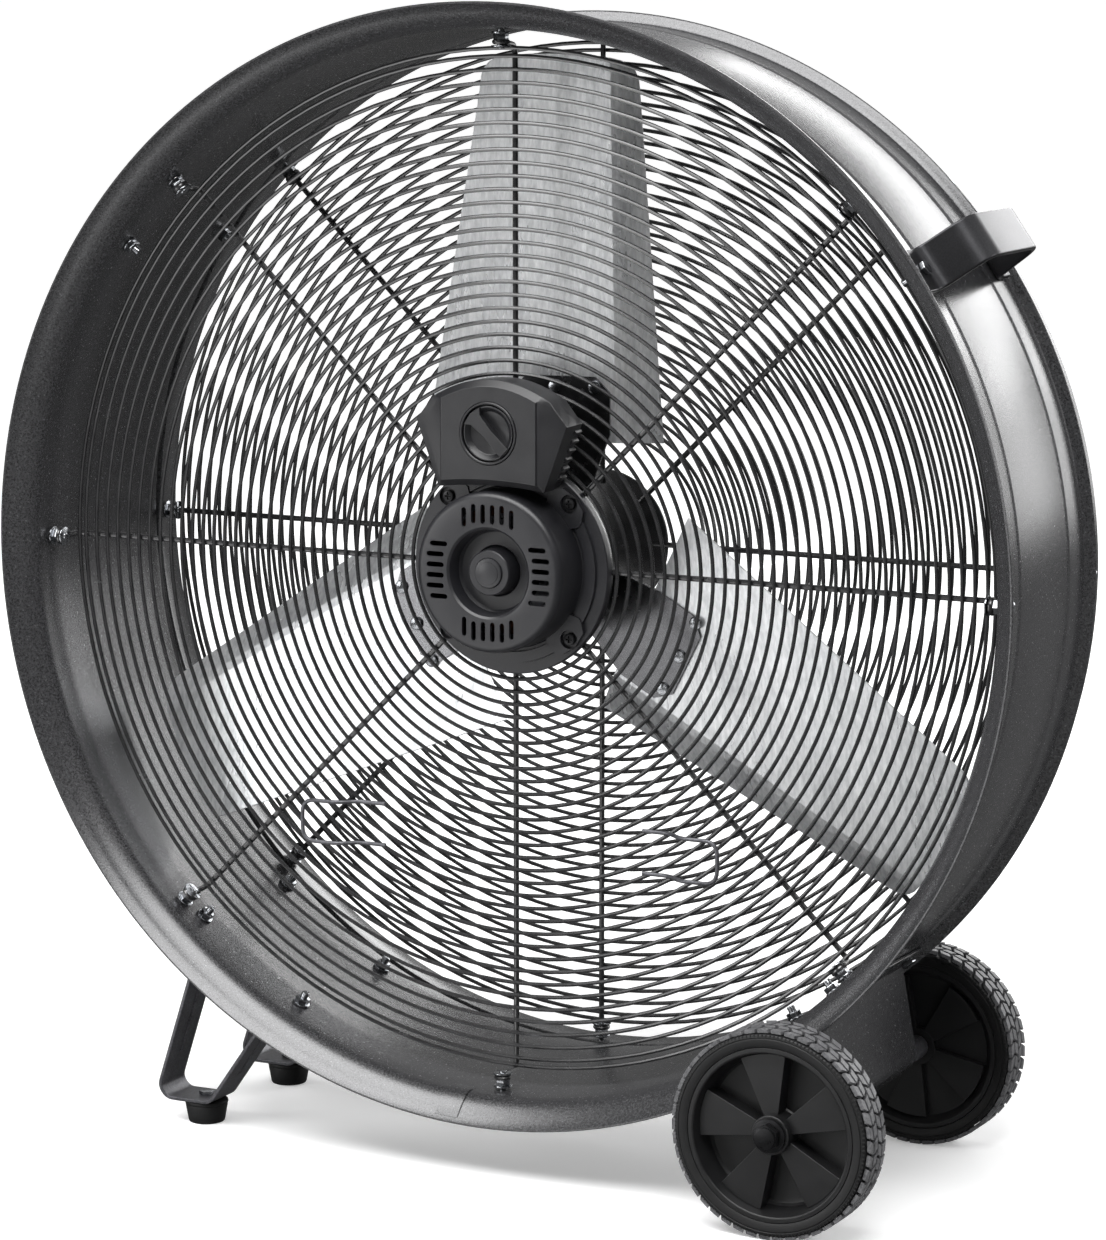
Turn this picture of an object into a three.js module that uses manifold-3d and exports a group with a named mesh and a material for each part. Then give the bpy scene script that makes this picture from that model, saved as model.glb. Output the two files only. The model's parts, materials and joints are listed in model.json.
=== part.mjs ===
// A wheeled drum fan: a rolled steel drum with a wire guard at each end, a motor hung in the
// front guard, a three-bladed paddle rotor, a speed selector box, two grab handles, two bent
// strip legs on rubber feet, and a pair of wheels on one axle.
// Units are millimetres, +Z is up, and the origin is on the floor below the drum's centre.
// The drum's axis runs along Y, and the motor and the selector face -Y, the front.
import * as THREE from "three";
import { mergeVertices } from "three/addons/utils/BufferGeometryUtils.js";
import Module from "manifold-3d";

const wasm = await Module();
wasm.setup();

// Driving dimensions.
const gap = 0.3; // clearance between pieces that touch

const drum = { radius: 411, sheet: 2, depth: 232, flareRise: 19, flareLength: 27, hem: 4 };
drum.toFloor = 60; // from the drum's wall down to the floor
const axisHeight = drum.radius + drum.toFloor;
drum.front = -drum.depth / 2;
drum.back = drum.depth / 2;
drum.inner = drum.radius - drum.sheet;
drum.facets = 48;
drum.innerFace = drum.inner * Math.cos(Math.PI / drum.facets); // nearest point of its facets
const hoop = { fromBack: 27, rise: 8, foot: 4.5, crest: 1 }; // raised hoop ahead of the rear collar
const crease = { fromFront: 65, depth: 1, halfWidth: 3 }; // rolled line, one near each end

const guard = {
  spokes: 8,
  spokeRadius: 2.2,
  wireRadius: 1.6,
  wires: 31, // wires of the real guard inside its rim wire
  pitch: 10,
  rimGap: 15, // rim wire to the drum's inner wall
  wireGap: 21, // outermost of the evenly spaced wires to the drum's inner wall
  plateInner: 62.5,
  plateOuter: 82,
  plate: 4.4,
  spokeStart: 78,
  weld: 0.5, // how deep a wire is welded into a spoke
};
// The solids carry one wire in every few.
const frontGuard = { plane: drum.front + 64, boltPlane: drum.front + 41, side: -1, every: 5 };
const rearGuard = { plane: drum.back - 17.5, side: 1, every: 10, disc: 57, discPlate: 2 };
rearGuard.boltPlane = rearGuard.plane;
const guardBolt = { shank: 3, tail: 13, washer: 7, washerThick: 1.5, head: 6.5, headHeight: 5 };

const motor = {
  flangeRadius: 83,
  flangeThick: 6.5,
  stepInner: 65,
  stepOuter: 74,
  stepHeight: 3,
  screwRadius: 73.5,
  bellRadius: 62,
  bellEdge: 5,
  wall: 2.5,
  bellFront: drum.front + 17,
  recessRadius: 33,
  recessDepth: 16,
  bossRadius: 16.5,
  housingRadius: 60,
  housingLength: 26,
  rearLength: 18,
  airGap: 0.6,
};
motor.bossFront = motor.bellFront + 2;
motor.flangeBack = frontGuard.plane - guard.plate / 2 - gap;
motor.flangeFront = motor.flangeBack - motor.flangeThick;
motor.housingFront = motor.flangeBack + gap;
motor.rearFront = motor.housingFront + motor.housingLength;
motor.rearBack = motor.rearFront + motor.rearLength;
const stator = { inner: 38, length: 24, slots: 6, slotRadius: 3, slotCircle: 46 };
stator.turnInner = 42;
stator.turnOuter = 52;
stator.turnLength = 9;
const ventSlot = { perSide: 6, width: 3.9, length: 15, pitch: 8.1, centre: 45, outerCentre: 42 };
const flangeScrew = { shank: 2.5, head: 4.6, headHeight: 3, well: 7.5, length: 14 };
const bearing = { outer: 13, width: 9, shoulder: 4 };
const shaft = { radius: 6, pastHub: 10 };

const rotor = {
  blades: 3,
  tipGap: 21, // blade tip to the drum's inner wall
  root: 90,
  sheet: 2,
  leadTip: 56,
  leadRoot: 98,
  trailTip: 67,
  trailRoot: 86,
  foldTip: 50,
  foldRoot: 73,
  plane: drum.front + 124.5, // axial place of the blade where it crosses its own radius
  pitch: 0.15, // axial rise for each millimetre across the blade
  foldPitch: 0.6,
  tipCorner: 20,
};
rotor.tip = drum.inner - rotor.tipGap;
const spider = { sheet: 3, reach: 141, start: 12, lead: 31, trail: 49, boss: 17 };
spider.front = rotor.plane - 12.5;
spider.back = rotor.plane + 17.5;
shaft.back = spider.back + shaft.pastHub;
const rivet = { shank: 2.4, head: 5, headHeight: 2, radius: 133, across: [-27, 5, 37] };
const hubNut = { across: 19, thick: 8 };

const box = {
  bottomHalf: 45,
  bottom: 63.5,
  bottomArch: 3,
  waistHalf: 64,
  waist: 114,
  topHalf: 50,
  top: 132,
  arch: 15,
  coverDepth: 22,
  bevel: 5,
  wall: 2.5,
  panelHalf: 41,
  panelRise: 1.2,
};
box.front = motor.bellFront + box.panelRise;
box.seam = box.front + box.coverDepth;
box.back = motor.flangeFront - motor.stepHeight - gap;
const knob = { height: 106.5, radius: 21, bezel: 24, dish: 7, base: 4, bar: 9, proud: 3, stem: 4 };
knob.lean = 45; // degrees that the grip bar leans from upright at its off position
const selector = { size: 24, depth: 14 };
const capacitor = { radius: 7.5, length: 36, x: -30, z: 84 };
const gland = { radius: 4, collar: 5.4, collarThick: 2, along: 0.5 };

const handle = { angle: 35.3, width: 36, sheet: 5, height: 44, bend: 8 };
handle.end = drum.back - 35;
handle.bolt = handle.end - 11;
handle.foot = handle.end - 25;
handle.gripHalf = handle.foot - 4;
const strapBolt = { shank: 3, across: 10, headHeight: 4, washer: 7, nutHeight: 6, tail: 5 };

const strip = { sheet: 3, width: 36, along: drum.back - 50, firstBolt: 47.7, secondBolt: 62.9 };
strip.padEnds = [46.4, 49.6, 61.2, 65]; // degrees below the horizontal, of the pads on the drum
strip.bend = 5;
const [padOuter, padInner] = [strip.padEnds[0], strip.padEnds[2]].map(
  (below) => drum.radius * Math.cos((below * Math.PI) / 180),
);
const leg = { outerX: -padOuter - 25.6, innerX: -padInner - 64, bottom: axisHeight - 20 };
const foot = { x: leg.outerX + 34, top: 17.5, floor: 14.5, shank: 3, seat: 9, head: 6, headHeight: 3 };
const wheel = { radius: 80, width: 34, rim: 66, lip: 62, dish: 57, dishDepth: 12 };
wheel.x = padOuter - 19.8;
wheel.inner = drum.back + 10;
wheel.boss = 15;
wheel.bossProud = 2; // how far the boss stands inside the tyre's faces
wheel.spokes = 5;
wheel.spokeHalfAngle = 19;
wheel.spokeRise = 4;
const bracket = { half: drum.back - 33, web: 3 };
bracket.outer = [padOuter - 2.4, axisHeight - 82];
bracket.corner = [padOuter - 30.4, axisHeight - 57];
const axle = { radius: 6, spacer: 9.5, washer: 13, washerThick: 2, across: 18, nutThick: 8, cap: 3 };
const hook = { halfGap: 16.5, stand: 12, wire: 1.6 };
hook.seatWire = drum.inner - guard.wireGap - 3 * frontGuard.every * guard.pitch; // the wire it is welded to
hook.height = 25.5 - hook.seatWire;
hook.jog = Math.sqrt(hook.seatWire ** 2 - (hook.height + hook.halfGap) ** 2) + 7;
hook.tip = hook.jog + 38;
hook.end = hook.jog - 30;

// Materials.
const paint = (color, roughness, metalness = 0) =>
  new THREE.MeshStandardMaterial({ color, roughness, metalness });
const texturedBlack = paint(0x2b2b2c, 0.55, 0.3);
const glossBlack = paint(0x141414, 0.3, 0.2);
const mouldedBlack = paint(0x333335, 0.6);
const greySteel = paint(0x56565a, 0.5, 0.6);
const sheetAluminium = paint(0xb9babb, 0.3, 0.9);
const zinc = paint(0xb4b6b8, 0.3, 1);
const rubber = paint(0x161616, 0.85);
const copper = paint(0x8a4a2a, 0.5, 0.6);

// Solids and their joins and cuts.
function solid(geometry) {
  const bare = geometry.clone();
  for (const name of ["normal", "uv"]) bare.deleteAttribute(name);
  const merged = mergeVertices(bare, 1e-4);
  const vertProperties = merged.attributes.position.array;
  return new wasm.Manifold(
    new wasm.Mesh({ numProp: 3, vertProperties, triVerts: new Uint32Array(merged.index.array) }),
  );
}

function geometryOf(manifold) {
  const mesh = manifold.getMesh();
  const geometry = new THREE.BufferGeometry();
  geometry.setAttribute("position", new THREE.BufferAttribute(mesh.vertProperties, 3));
  geometry.setIndex(new THREE.BufferAttribute(mesh.triVerts, 1));
  geometry.computeVertexNormals();
  return geometry;
}

const join = (...pieces) => geometryOf(pieces.map(solid).reduce((whole, piece) => whole.add(piece)));
const common = (...pieces) =>
  geometryOf(pieces.map(solid).reduce((whole, piece) => whole.intersect(piece)));
const cut = (piece, ...tools) =>
  geometryOf(tools.map(solid).reduce((whole, tool) => whole.subtract(tool), solid(piece)));

const radians = THREE.MathUtils.degToRad;

// The point at a radius and an angle in degrees, anticlockwise from +X as seen from the front.
const polar = (radius, angle) => [radius * Math.cos(radians(angle)), radius * Math.sin(radians(angle))];

// A closed [radius, y] profile turned round Y: up along its outside, then back along its inside.
function turned(profile, segments = 24) {
  const points = [...profile, profile[0]].map(([r, y]) => new THREE.Vector2(r, y));
  return new THREE.LatheGeometry(points, segments);
}

// A profile that starts and ends on the axis.
function turnedSolid(profile, segments = 24) {
  return new THREE.LatheGeometry(profile.map(([r, y]) => new THREE.Vector2(r, y)), segments);
}

// A round bar between two places, or a hexagonal one with six sides.
function bar(radius, from, to, sides = 12) {
  const [start, end] = [new THREE.Vector3(...from), new THREE.Vector3(...to)];
  const run = end.clone().sub(start);
  const up = new THREE.Vector3(0, 1, 0);
  const turn = new THREE.Quaternion().setFromUnitVectors(up, run.clone().normalize());
  const middle = start.add(end).divideScalar(2);
  return new THREE.CylinderGeometry(radius, radius, run.length(), sides)
    .applyQuaternion(turn)
    .translate(middle.x, middle.y, middle.z);
}

const barY = (radius, from, to, sides, x = 0, z = 0) => bar(radius, [x, from, z], [x, to, z], sides);

// A bar that runs outwards along the radius at an angle, at an axial place.
function barOut(radius, from, to, angle, y, sides = 6) {
  const [start, end] = [polar(from, angle), polar(to, angle)];
  return bar(radius, [start[0], y, start[1]], [end[0], y, end[1]], sides);
}

const acrossFlats = (size) => size / Math.sqrt(3);

// An outline in X and Z made a solid between two axial places. The outline is a shape, or points
// that run anticlockwise as seen from the front.
function plate(outline, from, to) {
  const shape =
    outline instanceof THREE.Shape
      ? outline
      : new THREE.Shape(outline.map(([x, z]) => new THREE.Vector2(x, z)));
  return new THREE.ExtrudeGeometry(shape, { depth: to - from, bevelEnabled: false, curveSegments: 4 })
    .rotateX(Math.PI / 2)
    .translate(0, to, 0);
}

// A line of [x, z] points with each inner corner rounded.
function rounded(line, bend) {
  const points = line.map(([x, z]) => new THREE.Vector2(x, z));
  const path = new THREE.Path().moveTo(points[0].x, points[0].y);
  points.slice(1, -1).forEach((corner, i) => {
    const [before, after] = [points[i], points[i + 2]].map((other) => {
      const reach = Math.min(bend, corner.distanceTo(other) / 2.2);
      return other.clone().sub(corner).setLength(reach).add(corner);
    });
    path.lineTo(before.x, before.y).quadraticCurveTo(corner.x, corner.y, after.x, after.y);
  });
  path.lineTo(points.at(-1).x, points.at(-1).y);
  return path.getPoints(3).map(({ x, y }) => [x, y]);
}

// A sheet bent along a line of [x, z] points, half its thickness to each side of the line.
function bentSheet(line, sheet, from, to) {
  const normals = line.slice(1).map(([x, z], i) => {
    const run = new THREE.Vector2(x - line[i][0], z - line[i][1]).normalize();
    return new THREE.Vector2(-run.y, run.x);
  });
  const side = (sign) =>
    line.map(([x, z], i) => {
      const [before, after] = [normals[Math.max(i - 1, 0)], normals[Math.min(i, normals.length - 1)]];
      const mitre = (sign * sheet) / 2 / (1 + before.dot(after));
      return [x + (before.x + after.x) * mitre, z + (before.y + after.y) * mitre];
    });
  return plate([...side(-1), ...side(1).reverse()], from, to);
}

const root = new THREE.Group();
const fan = new THREE.Group(); // everything placed from the drum's axis
fan.position.z = axisHeight;
root.add(fan);

function add(name, geometry, material) {
  const mesh = new THREE.Mesh(geometry, material);
  mesh.name = name;
  fan.add(mesh);
}

const ends = { front: -1, rear: 1 };
const spokeAngles = Array.from({ length: guard.spokes }, (_, i) => (i * 360) / guard.spokes);
const stripBolts = [strip.firstBolt, strip.secondBolt];
const handleAngles = { right: handle.angle, left: 180 - handle.angle };

// The drum: one rolled sheet with a trumpet flare at the front, a crease near each end and a
// hoop ahead of the short collar that carries the rear guard.
function drumShell() {
  const flare = (share, inwards) => [drum.radius - inwards + drum.flareRise * share ** 2, drum.front];
  const flarePoint = (share, inwards) => {
    const [radius, front] = flare(share, inwards);
    return [radius, front + drum.hem + (drum.flareLength - drum.hem) * (1 - share)];
  };
  const creaseAt = (y) => [
    [drum.radius, y - crease.halfWidth],
    [drum.radius - crease.depth, y],
    [drum.radius, y + crease.halfWidth],
  ];
  const crest = drum.back - hoop.fromBack;
  const hoopLine = (base, from, to) => [
    [base, crest - from],
    [base + hoop.rise, crest - hoop.crest],
    [base + hoop.rise, crest + hoop.crest],
    [base, crest + to],
  ];
  const outside = [
    flare(1, 0),
    ...[1, 0.4, 0].map((share) => flarePoint(share, 0)),
    ...creaseAt(drum.front + crease.fromFront),
    ...creaseAt(drum.back - crease.fromFront),
    ...hoopLine(drum.radius, hoop.foot, hoop.foot / 2),
    [drum.radius, drum.back],
  ];
  const inside = [
    [drum.inner, drum.back],
    ...hoopLine(drum.inner, hoop.foot - 1, hoop.foot / 2 - 1).reverse(),
    ...[0, 0.4].map((share) => flarePoint(share, drum.sheet)),
    [drum.radius + drum.flareRise - drum.sheet, drum.front],
  ];
  const hole = (radius, angle, y) => barOut(radius + gap, drum.inner - 5, drum.radius + 5, angle, y, 6);
  const holes = spokeAngles.flatMap((angle) => [
    hole(guardBolt.shank, angle, frontGuard.boltPlane),
    hole(guardBolt.shank, angle, rearGuard.boltPlane),
  ]);
  for (const end of [-1, 1]) {
    for (const below of stripBolts) {
      holes.push(hole(strapBolt.shank, 180 + below, end * strip.along));
      holes.push(hole(strapBolt.shank, 360 - below, end * strip.along));
    }
    for (const angle of Object.values(handleAngles))
      holes.push(hole(strapBolt.shank, angle, end * handle.bolt));
  }
  return cut(turned([...outside, ...inside], drum.facets), ...holes);
}
add("drum_shell", drumShell(), texturedBlack);

// A guard: round wires welded to eight spokes, each spoke held to the drum by a radial bolt.
function guardBody({ plane, boltPlane, side, every }, centre) {
  const wirePlane = plane + side * (guard.spokeRadius + guard.wireRadius - guard.weld);
  const ring = (radius) => new THREE.TorusGeometry(radius, guard.wireRadius, 3, 20).rotateX(Math.PI / 2);
  const rings = [drum.inner - guard.rimGap];
  for (let wire = 0; wire < guard.wires; wire += every)
    rings.push(drum.inner - guard.wireGap - wire * guard.pitch);
  const pieces = [centre, ...rings.map((radius) => ring(radius).translate(0, wirePlane, 0))];
  const eye = drum.inner - guardBolt.tail + guard.spokeRadius;
  const head = drum.radius + gap;
  const washer = drum.innerFace - gap - guardBolt.washerThick;
  for (const angle of spokeAngles) {
    const out = (radius, from, to, y, sides = 6) => pieces.push(barOut(radius, from, to, angle, y, sides));
    out(guard.spokeRadius, guard.spokeStart, eye + guard.spokeRadius, plane);
    out(guardBolt.shank, drum.inner - guardBolt.tail, head + 1, boltPlane);
    out(guardBolt.head, head, head + guardBolt.headHeight, boltPlane);
    out(guardBolt.washer, washer, washer + guardBolt.washerThick, boltPlane);
    if (boltPlane === plane) continue;
    const [x, z] = polar(eye, angle);
    pieces.push(bar(guard.spokeRadius, [x, plane + guard.spokeRadius, z], [x, boltPlane, z], 6));
  }
  return join(...pieces);
}

const screwPlaces = [45, 135, 225, 315].map((angle) => polar(motor.screwRadius, angle));
const screwHoles = screwPlaces.map(([x, z]) =>
  barY(flangeScrew.shank + gap, motor.flangeFront - 20, frontGuard.plane + 20, 8, x, z),
);
const frontPlate = turned([
  [guard.plateOuter, frontGuard.plane - guard.plate / 2],
  [guard.plateOuter, frontGuard.plane + guard.plate / 2],
  [guard.plateInner, frontGuard.plane + guard.plate / 2],
  [guard.plateInner, frontGuard.plane - guard.plate / 2],
]);
add("front_guard", cut(guardBody(frontGuard, frontPlate), ...screwHoles), glossBlack);

const rearSpokes = spokeAngles.map((angle) =>
  barOut(guard.spokeRadius, rearGuard.disc - 9, guard.plateOuter, angle, rearGuard.plane),
);
const rearDisc = barY(rearGuard.disc, rearGuard.plane, rearGuard.plane + rearGuard.discPlate, 32);
add("rear_guard", join(guardBody(rearGuard, rearDisc), ...rearSpokes), glossBlack);

// Two open wire hooks on the front guard, which the wound cord hangs over.
function cordHook(side) {
  const wireFront = frontGuard.plane - guard.spokeRadius - 2 * guard.wireRadius + guard.weld;
  const back = wireFront - 2 * gap - hook.wire;
  const stand = back - hook.stand;
  const [top, low] = [hook.height + hook.halfGap, hook.height - hook.halfGap];
  const arm = (z, corner) => [
    [hook.end, back, z],
    [hook.jog - 10, back, z],
    [hook.jog - 4, back - 2.5, z],
    [hook.jog + 4, stand + 2.5, z],
    [hook.jog + 10, stand, z],
    [hook.tip - 8, stand, z],
    [hook.tip - 1, stand, z + corner],
  ];
  const places = [...arm(top, -6), ...arm(low, 6).reverse()];
  const points = places.map(([x, y, z]) => new THREE.Vector3(side * x, y, z));
  const section = new THREE.Shape().absarc(0, 0, hook.wire, 0, Math.PI * 2);
  return new THREE.ExtrudeGeometry(section, {
    steps: 28,
    curveSegments: 3,
    bevelEnabled: false,
    extrudePath: new THREE.CatmullRomCurve3(points, false, "centripetal"),
  });
}
add("cord_hook_left", cordHook(-1), glossBlack);
add("cord_hook_right", cordHook(1), glossBlack);

// The motor's front shield: bell, vent slots, bearing boss and the flange that bolts to the guard.
function frontShield() {
  const { bellRadius: bell, bellFront: front, wall, bellEdge: edge } = motor;
  const floor = front + motor.recessDepth;
  const seat = bearing.outer + gap;
  const profile = [
    [motor.bossRadius, motor.bossFront],
    [motor.bossRadius + 2, floor],
    [motor.recessRadius - 1, floor],
    [motor.recessRadius, front + 2],
    [motor.recessRadius + 2, front],
    [bell - edge, front],
    [bell - edge * 0.3, front + edge * 0.3],
    [bell, front + edge],
    [bell, motor.flangeFront],
    [motor.stepInner, motor.flangeFront],
    [motor.stepInner, motor.flangeFront - motor.stepHeight],
    [motor.stepOuter, motor.flangeFront - motor.stepHeight],
    [motor.stepOuter, motor.flangeFront],
    [motor.flangeRadius, motor.flangeFront],
    [motor.flangeRadius, motor.flangeBack],
    [bell - wall, motor.flangeBack],
    [bell - wall, front + edge],
    [bell - edge, front + wall],
    [motor.recessRadius + wall, front + wall],
    [motor.recessRadius + wall, floor + wall],
    [seat, floor + wall],
    [seat, motor.bossFront + bearing.shoulder],
    [seat - 1.5, motor.bossFront + bearing.shoulder],
    [seat - 1.5, motor.bossFront],
  ];
  const slots = [];
  for (let i = 0; i < ventSlot.perSide; i++) {
    const across = (i - (ventSlot.perSide - 1) / 2) * ventSlot.pitch;
    const outermost = i === 0 || i === ventSlot.perSide - 1;
    const centre = outermost ? ventSlot.outerCentre : ventSlot.centre;
    for (let quarter = 0; quarter < 4; quarter++)
      slots.push(
        new THREE.BoxGeometry(ventSlot.width, 4 * wall, ventSlot.length)
          .translate(across, front + wall / 2, centre)
          .rotateY((quarter * Math.PI) / 2),
      );
  }
  const well = ([x, z]) => barY(flangeScrew.well, motor.flangeFront - 9, motor.flangeFront, 16, x, z);
  return cut(turned(profile, 28), ...slots, ...screwPlaces.map(well), ...screwHoles);
}
add("motor_front_shield", frontShield(), mouldedBlack);
screwPlaces.forEach(([x, z], i) => {
  const seat = motor.flangeFront - gap;
  const head = barY(flangeScrew.head, seat - flangeScrew.headHeight, seat, 12, x, z);
  const shank = barY(flangeScrew.shank, seat - 1, seat + flangeScrew.length, 8, x, z);
  add(`flange_screw_${i + 1}`, join(head, shank), mouldedBlack);
});
const capBack = motor.bossFront + bearing.shoulder - gap;
const capFront = motor.bossFront - 1;
const capRadius = bearing.outer - 1.5;
add(
  "bearing_cap",
  turnedSolid([
    [0, capFront],
    [capRadius - 1, capFront],
    [capRadius, capFront + 1],
    [capRadius, capBack],
    [0, capBack],
  ]),
  mouldedBlack,
);

// The motor's body behind the guard, its rear shield, and what turns and is wound inside.
const housingInner = motor.housingRadius - motor.wall;
add(
  "motor_housing",
  turned([
    [motor.housingRadius, motor.housingFront],
    [motor.housingRadius, motor.rearFront - gap],
    [housingInner, motor.rearFront - gap],
    [housingInner, motor.housingFront],
  ]),
  texturedBlack,
);
const rearSeat = motor.rearBack - motor.wall - bearing.width;
add(
  "motor_rear_shield",
  turned([
    [motor.housingRadius + 1, motor.rearFront],
    [motor.housingRadius + 1, motor.rearBack - 8],
    [motor.housingRadius - 7, motor.rearBack],
    [shaft.radius + 2, motor.rearBack],
    [shaft.radius + 2, motor.rearBack - motor.wall],
    [bearing.outer + gap, motor.rearBack - motor.wall],
    [bearing.outer + gap, rearSeat],
    [bearing.outer + gap + motor.wall, rearSeat],
    [bearing.outer + gap + motor.wall, motor.rearBack - motor.wall],
    [motor.housingRadius - 8, motor.rearBack - motor.wall],
    [housingInner, motor.rearBack - 9],
    [housingInner, motor.rearFront],
  ]),
  texturedBlack,
);
const coreFront = motor.housingFront + (motor.housingLength - stator.length) / 2;
const coreBack = coreFront + stator.length;
const windings = Array.from({ length: stator.slots }, (_, i) =>
  polar(stator.slotCircle, (i * 360) / stator.slots),
);
const statorRing = turned([
  [housingInner - gap, coreFront],
  [housingInner - gap, coreBack],
  [stator.inner, coreBack],
  [stator.inner, coreFront],
]);
const windingSlot = ([x, z]) => barY(stator.slotRadius + gap, coreFront - 1, coreBack + 1, 8, x, z);
add("stator_core", cut(statorRing, ...windings.map(windingSlot)), greySteel);
const endTurn = (from) =>
  turned([
    [stator.turnOuter, from],
    [stator.turnOuter, from + stator.turnLength],
    [stator.turnInner, from + stator.turnLength],
    [stator.turnInner, from],
  ]);
const windingBars = windings.map(([x, z]) =>
  barY(stator.slotRadius, coreFront - gap - 1, coreBack + gap + 1, 8, x, z),
);
add(
  "stator_winding",
  join(endTurn(coreFront - gap - stator.turnLength), endTurn(coreBack + gap), ...windingBars),
  copper,
);
const frontBearing = capBack + 2 * gap;
const bearingRing = (from) =>
  turned([
    [bearing.outer, from],
    [bearing.outer, from + bearing.width],
    [shaft.radius + gap, from + bearing.width],
    [shaft.radius + gap, from],
  ], 16);
add("motor_bearing_front", bearingRing(frontBearing), zinc);
add("motor_bearing_rear", bearingRing(rearSeat - gap), zinc);
add(
  "rotor_core",
  turned([
    [stator.inner - motor.airGap, coreFront],
    [stator.inner - motor.airGap, coreBack],
    [shaft.radius + gap, coreBack],
    [shaft.radius + gap, coreFront],
  ]),
  greySteel,
);
add("motor_shaft", barY(shaft.radius, frontBearing + gap, shaft.back, 16), zinc);

// The selector box: a ribbed base against the flange, a bevelled cover, and a three-speed switch.
function boxOutline(inset) {
  const [bottomHalf, waistHalf, topHalf] = [box.bottomHalf, box.waistHalf, box.topHalf].map((x) => x - inset);
  const bottom = box.bottom + inset;
  const top = box.top - inset * 0.7;
  return new THREE.Shape()
    .moveTo(-bottomHalf, bottom)
    .quadraticCurveTo(0, bottom + 2 * box.bottomArch, bottomHalf, bottom)
    .lineTo(waistHalf, box.waist)
    .lineTo(topHalf, top)
    .quadraticCurveTo(0, top + 2 * box.arch, -topHalf, top)
    .closePath();
}
const face = box.front;
const dishFloor = face + knob.dish;
const selectorFront = dishFloor + box.wall + gap;
const stemEnd = dishFloor + box.wall + selector.depth / 2;
function boxCover() {
  const bevelled = new THREE.ExtrudeGeometry(boxOutline(box.bevel), {
    depth: 2 * box.coverDepth,
    bevelThickness: box.bevel,
    bevelSize: box.bevel,
    bevelSegments: 1,
    curveSegments: 4,
  })
    .rotateX(Math.PI / 2)
    .translate(0, face + box.bevel + 2 * box.coverDepth, 0);
  const panel = common(
    plate(boxOutline(box.bevel + 1), face - box.panelRise, face + 1),
    new THREE.BoxGeometry(2 * box.panelHalf, 9, 400).translate(0, face, 0),
  );
  const dish = barY(knob.bezel, face - 9, dishFloor, 32, 0, knob.height);
  const backing = barY(knob.bezel + box.wall, face + 1, selectorFront - gap, 32, 0, knob.height);
  const pocket = cut(plate(boxOutline(box.bevel), face + box.wall, box.seam + 9), backing);
  const behind = plate(boxOutline(-9), box.seam, face + 3 * box.coverDepth);
  const stem = barY(knob.stem + gap, face, dishFloor + 9, 12, 0, knob.height);
  return cut(join(bevelled, panel), behind, pocket, dish, stem);
}
add("control_box_cover", boxCover(), mouldedBlack);
const flank = new THREE.Vector2(box.bottomHalf - box.waistHalf, box.waist - box.bottom);
const glandOut = new THREE.Vector2(-flank.y, flank.x).normalize();
const glandPlace = (out, y = (box.seam + gap + box.back) / 2) => {
  const inset = 1; // the base stands in from the cover by this much
  const reach = out - inset;
  return [
    -box.bottomHalf + flank.x * gland.along + glandOut.x * reach,
    y,
    box.bottom + flank.y * gland.along + glandOut.y * reach,
  ];
};
const baseFront = box.seam + gap;
const basePocket = plate(boxOutline(1 + box.wall), baseFront - 1, box.back - box.wall);
const glandHole = bar(gland.radius + gap, glandPlace(-8), glandPlace(8));
add("control_box_base", cut(plate(boxOutline(1), baseFront, box.back), basePocket, glandHole), mouldedBlack);
add(
  "cord_gland",
  cut(
    join(
      bar(gland.radius, glandPlace(-box.wall - 4), glandPlace(2)),
      bar(gland.collar, glandPlace(gap), glandPlace(gap + gland.collarThick)),
    ),
    bar(gland.radius - 1.5, glandPlace(-20), glandPlace(20)),
  ),
  rubber,
);
function speedKnob() {
  const back = dishFloor - gap;
  const disc = turnedSolid([
    [0, back - knob.base],
    [knob.radius - 3, back - knob.base],
    [knob.radius, back - 1],
    [knob.radius, back],
    [0, back],
  ]);
  const grip = new THREE.BoxGeometry(knob.bar, back - face + knob.proud, 2 * knob.radius - 3)
    .translate(0, (back + face - knob.proud) / 2, 0)
    .rotateY(-radians(knob.lean));
  const stem = barY(knob.stem, back - 1, stemEnd, 12);
  return join(disc, grip, stem).translate(0, 0, knob.height);
}
add("speed_knob", speedKnob(), mouldedBlack);
const selectorBack = box.back - box.wall - gap;
const selectorDepth = selectorBack - selectorFront;
const selectorMiddle = (selectorFront + selectorBack) / 2;
const selectorBox = new THREE.BoxGeometry(selector.size, selectorDepth, selector.size);
selectorBox.translate(0, selectorMiddle, knob.height);
const stemHole = barY(knob.stem + gap, face, stemEnd + gap, 12, 0, knob.height);
add("speed_switch", cut(selectorBox, stemHole), mouldedBlack);
const capacitorY = selectorBack - capacitor.radius;
add(
  "run_capacitor",
  bar(
    capacitor.radius,
    [capacitor.x, capacitorY, capacitor.z],
    [capacitor.x + capacitor.length, capacitorY, capacitor.z - 4],
    16,
  ),
  zinc,
);

// The paddle rotor: a three-armed spider on the shaft, with a folded sheet blade riveted to each
// arm. Each is drawn standing up at the top, where -X is its leading side, and then turned.
const armToBlade = spider.sheet / 2 + gap + rotor.sheet / 2;
const pitchAngle = Math.atan(rotor.pitch);
const armPlane = rotor.plane - armToBlade / Math.cos(pitchAngle);
const onArm = (geometry) => geometry.rotateZ(pitchAngle).translate(0, armPlane, 0);
const toPlace = (geometry, i) => geometry.rotateY((i * 2 * Math.PI) / rotor.blades);

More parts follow.
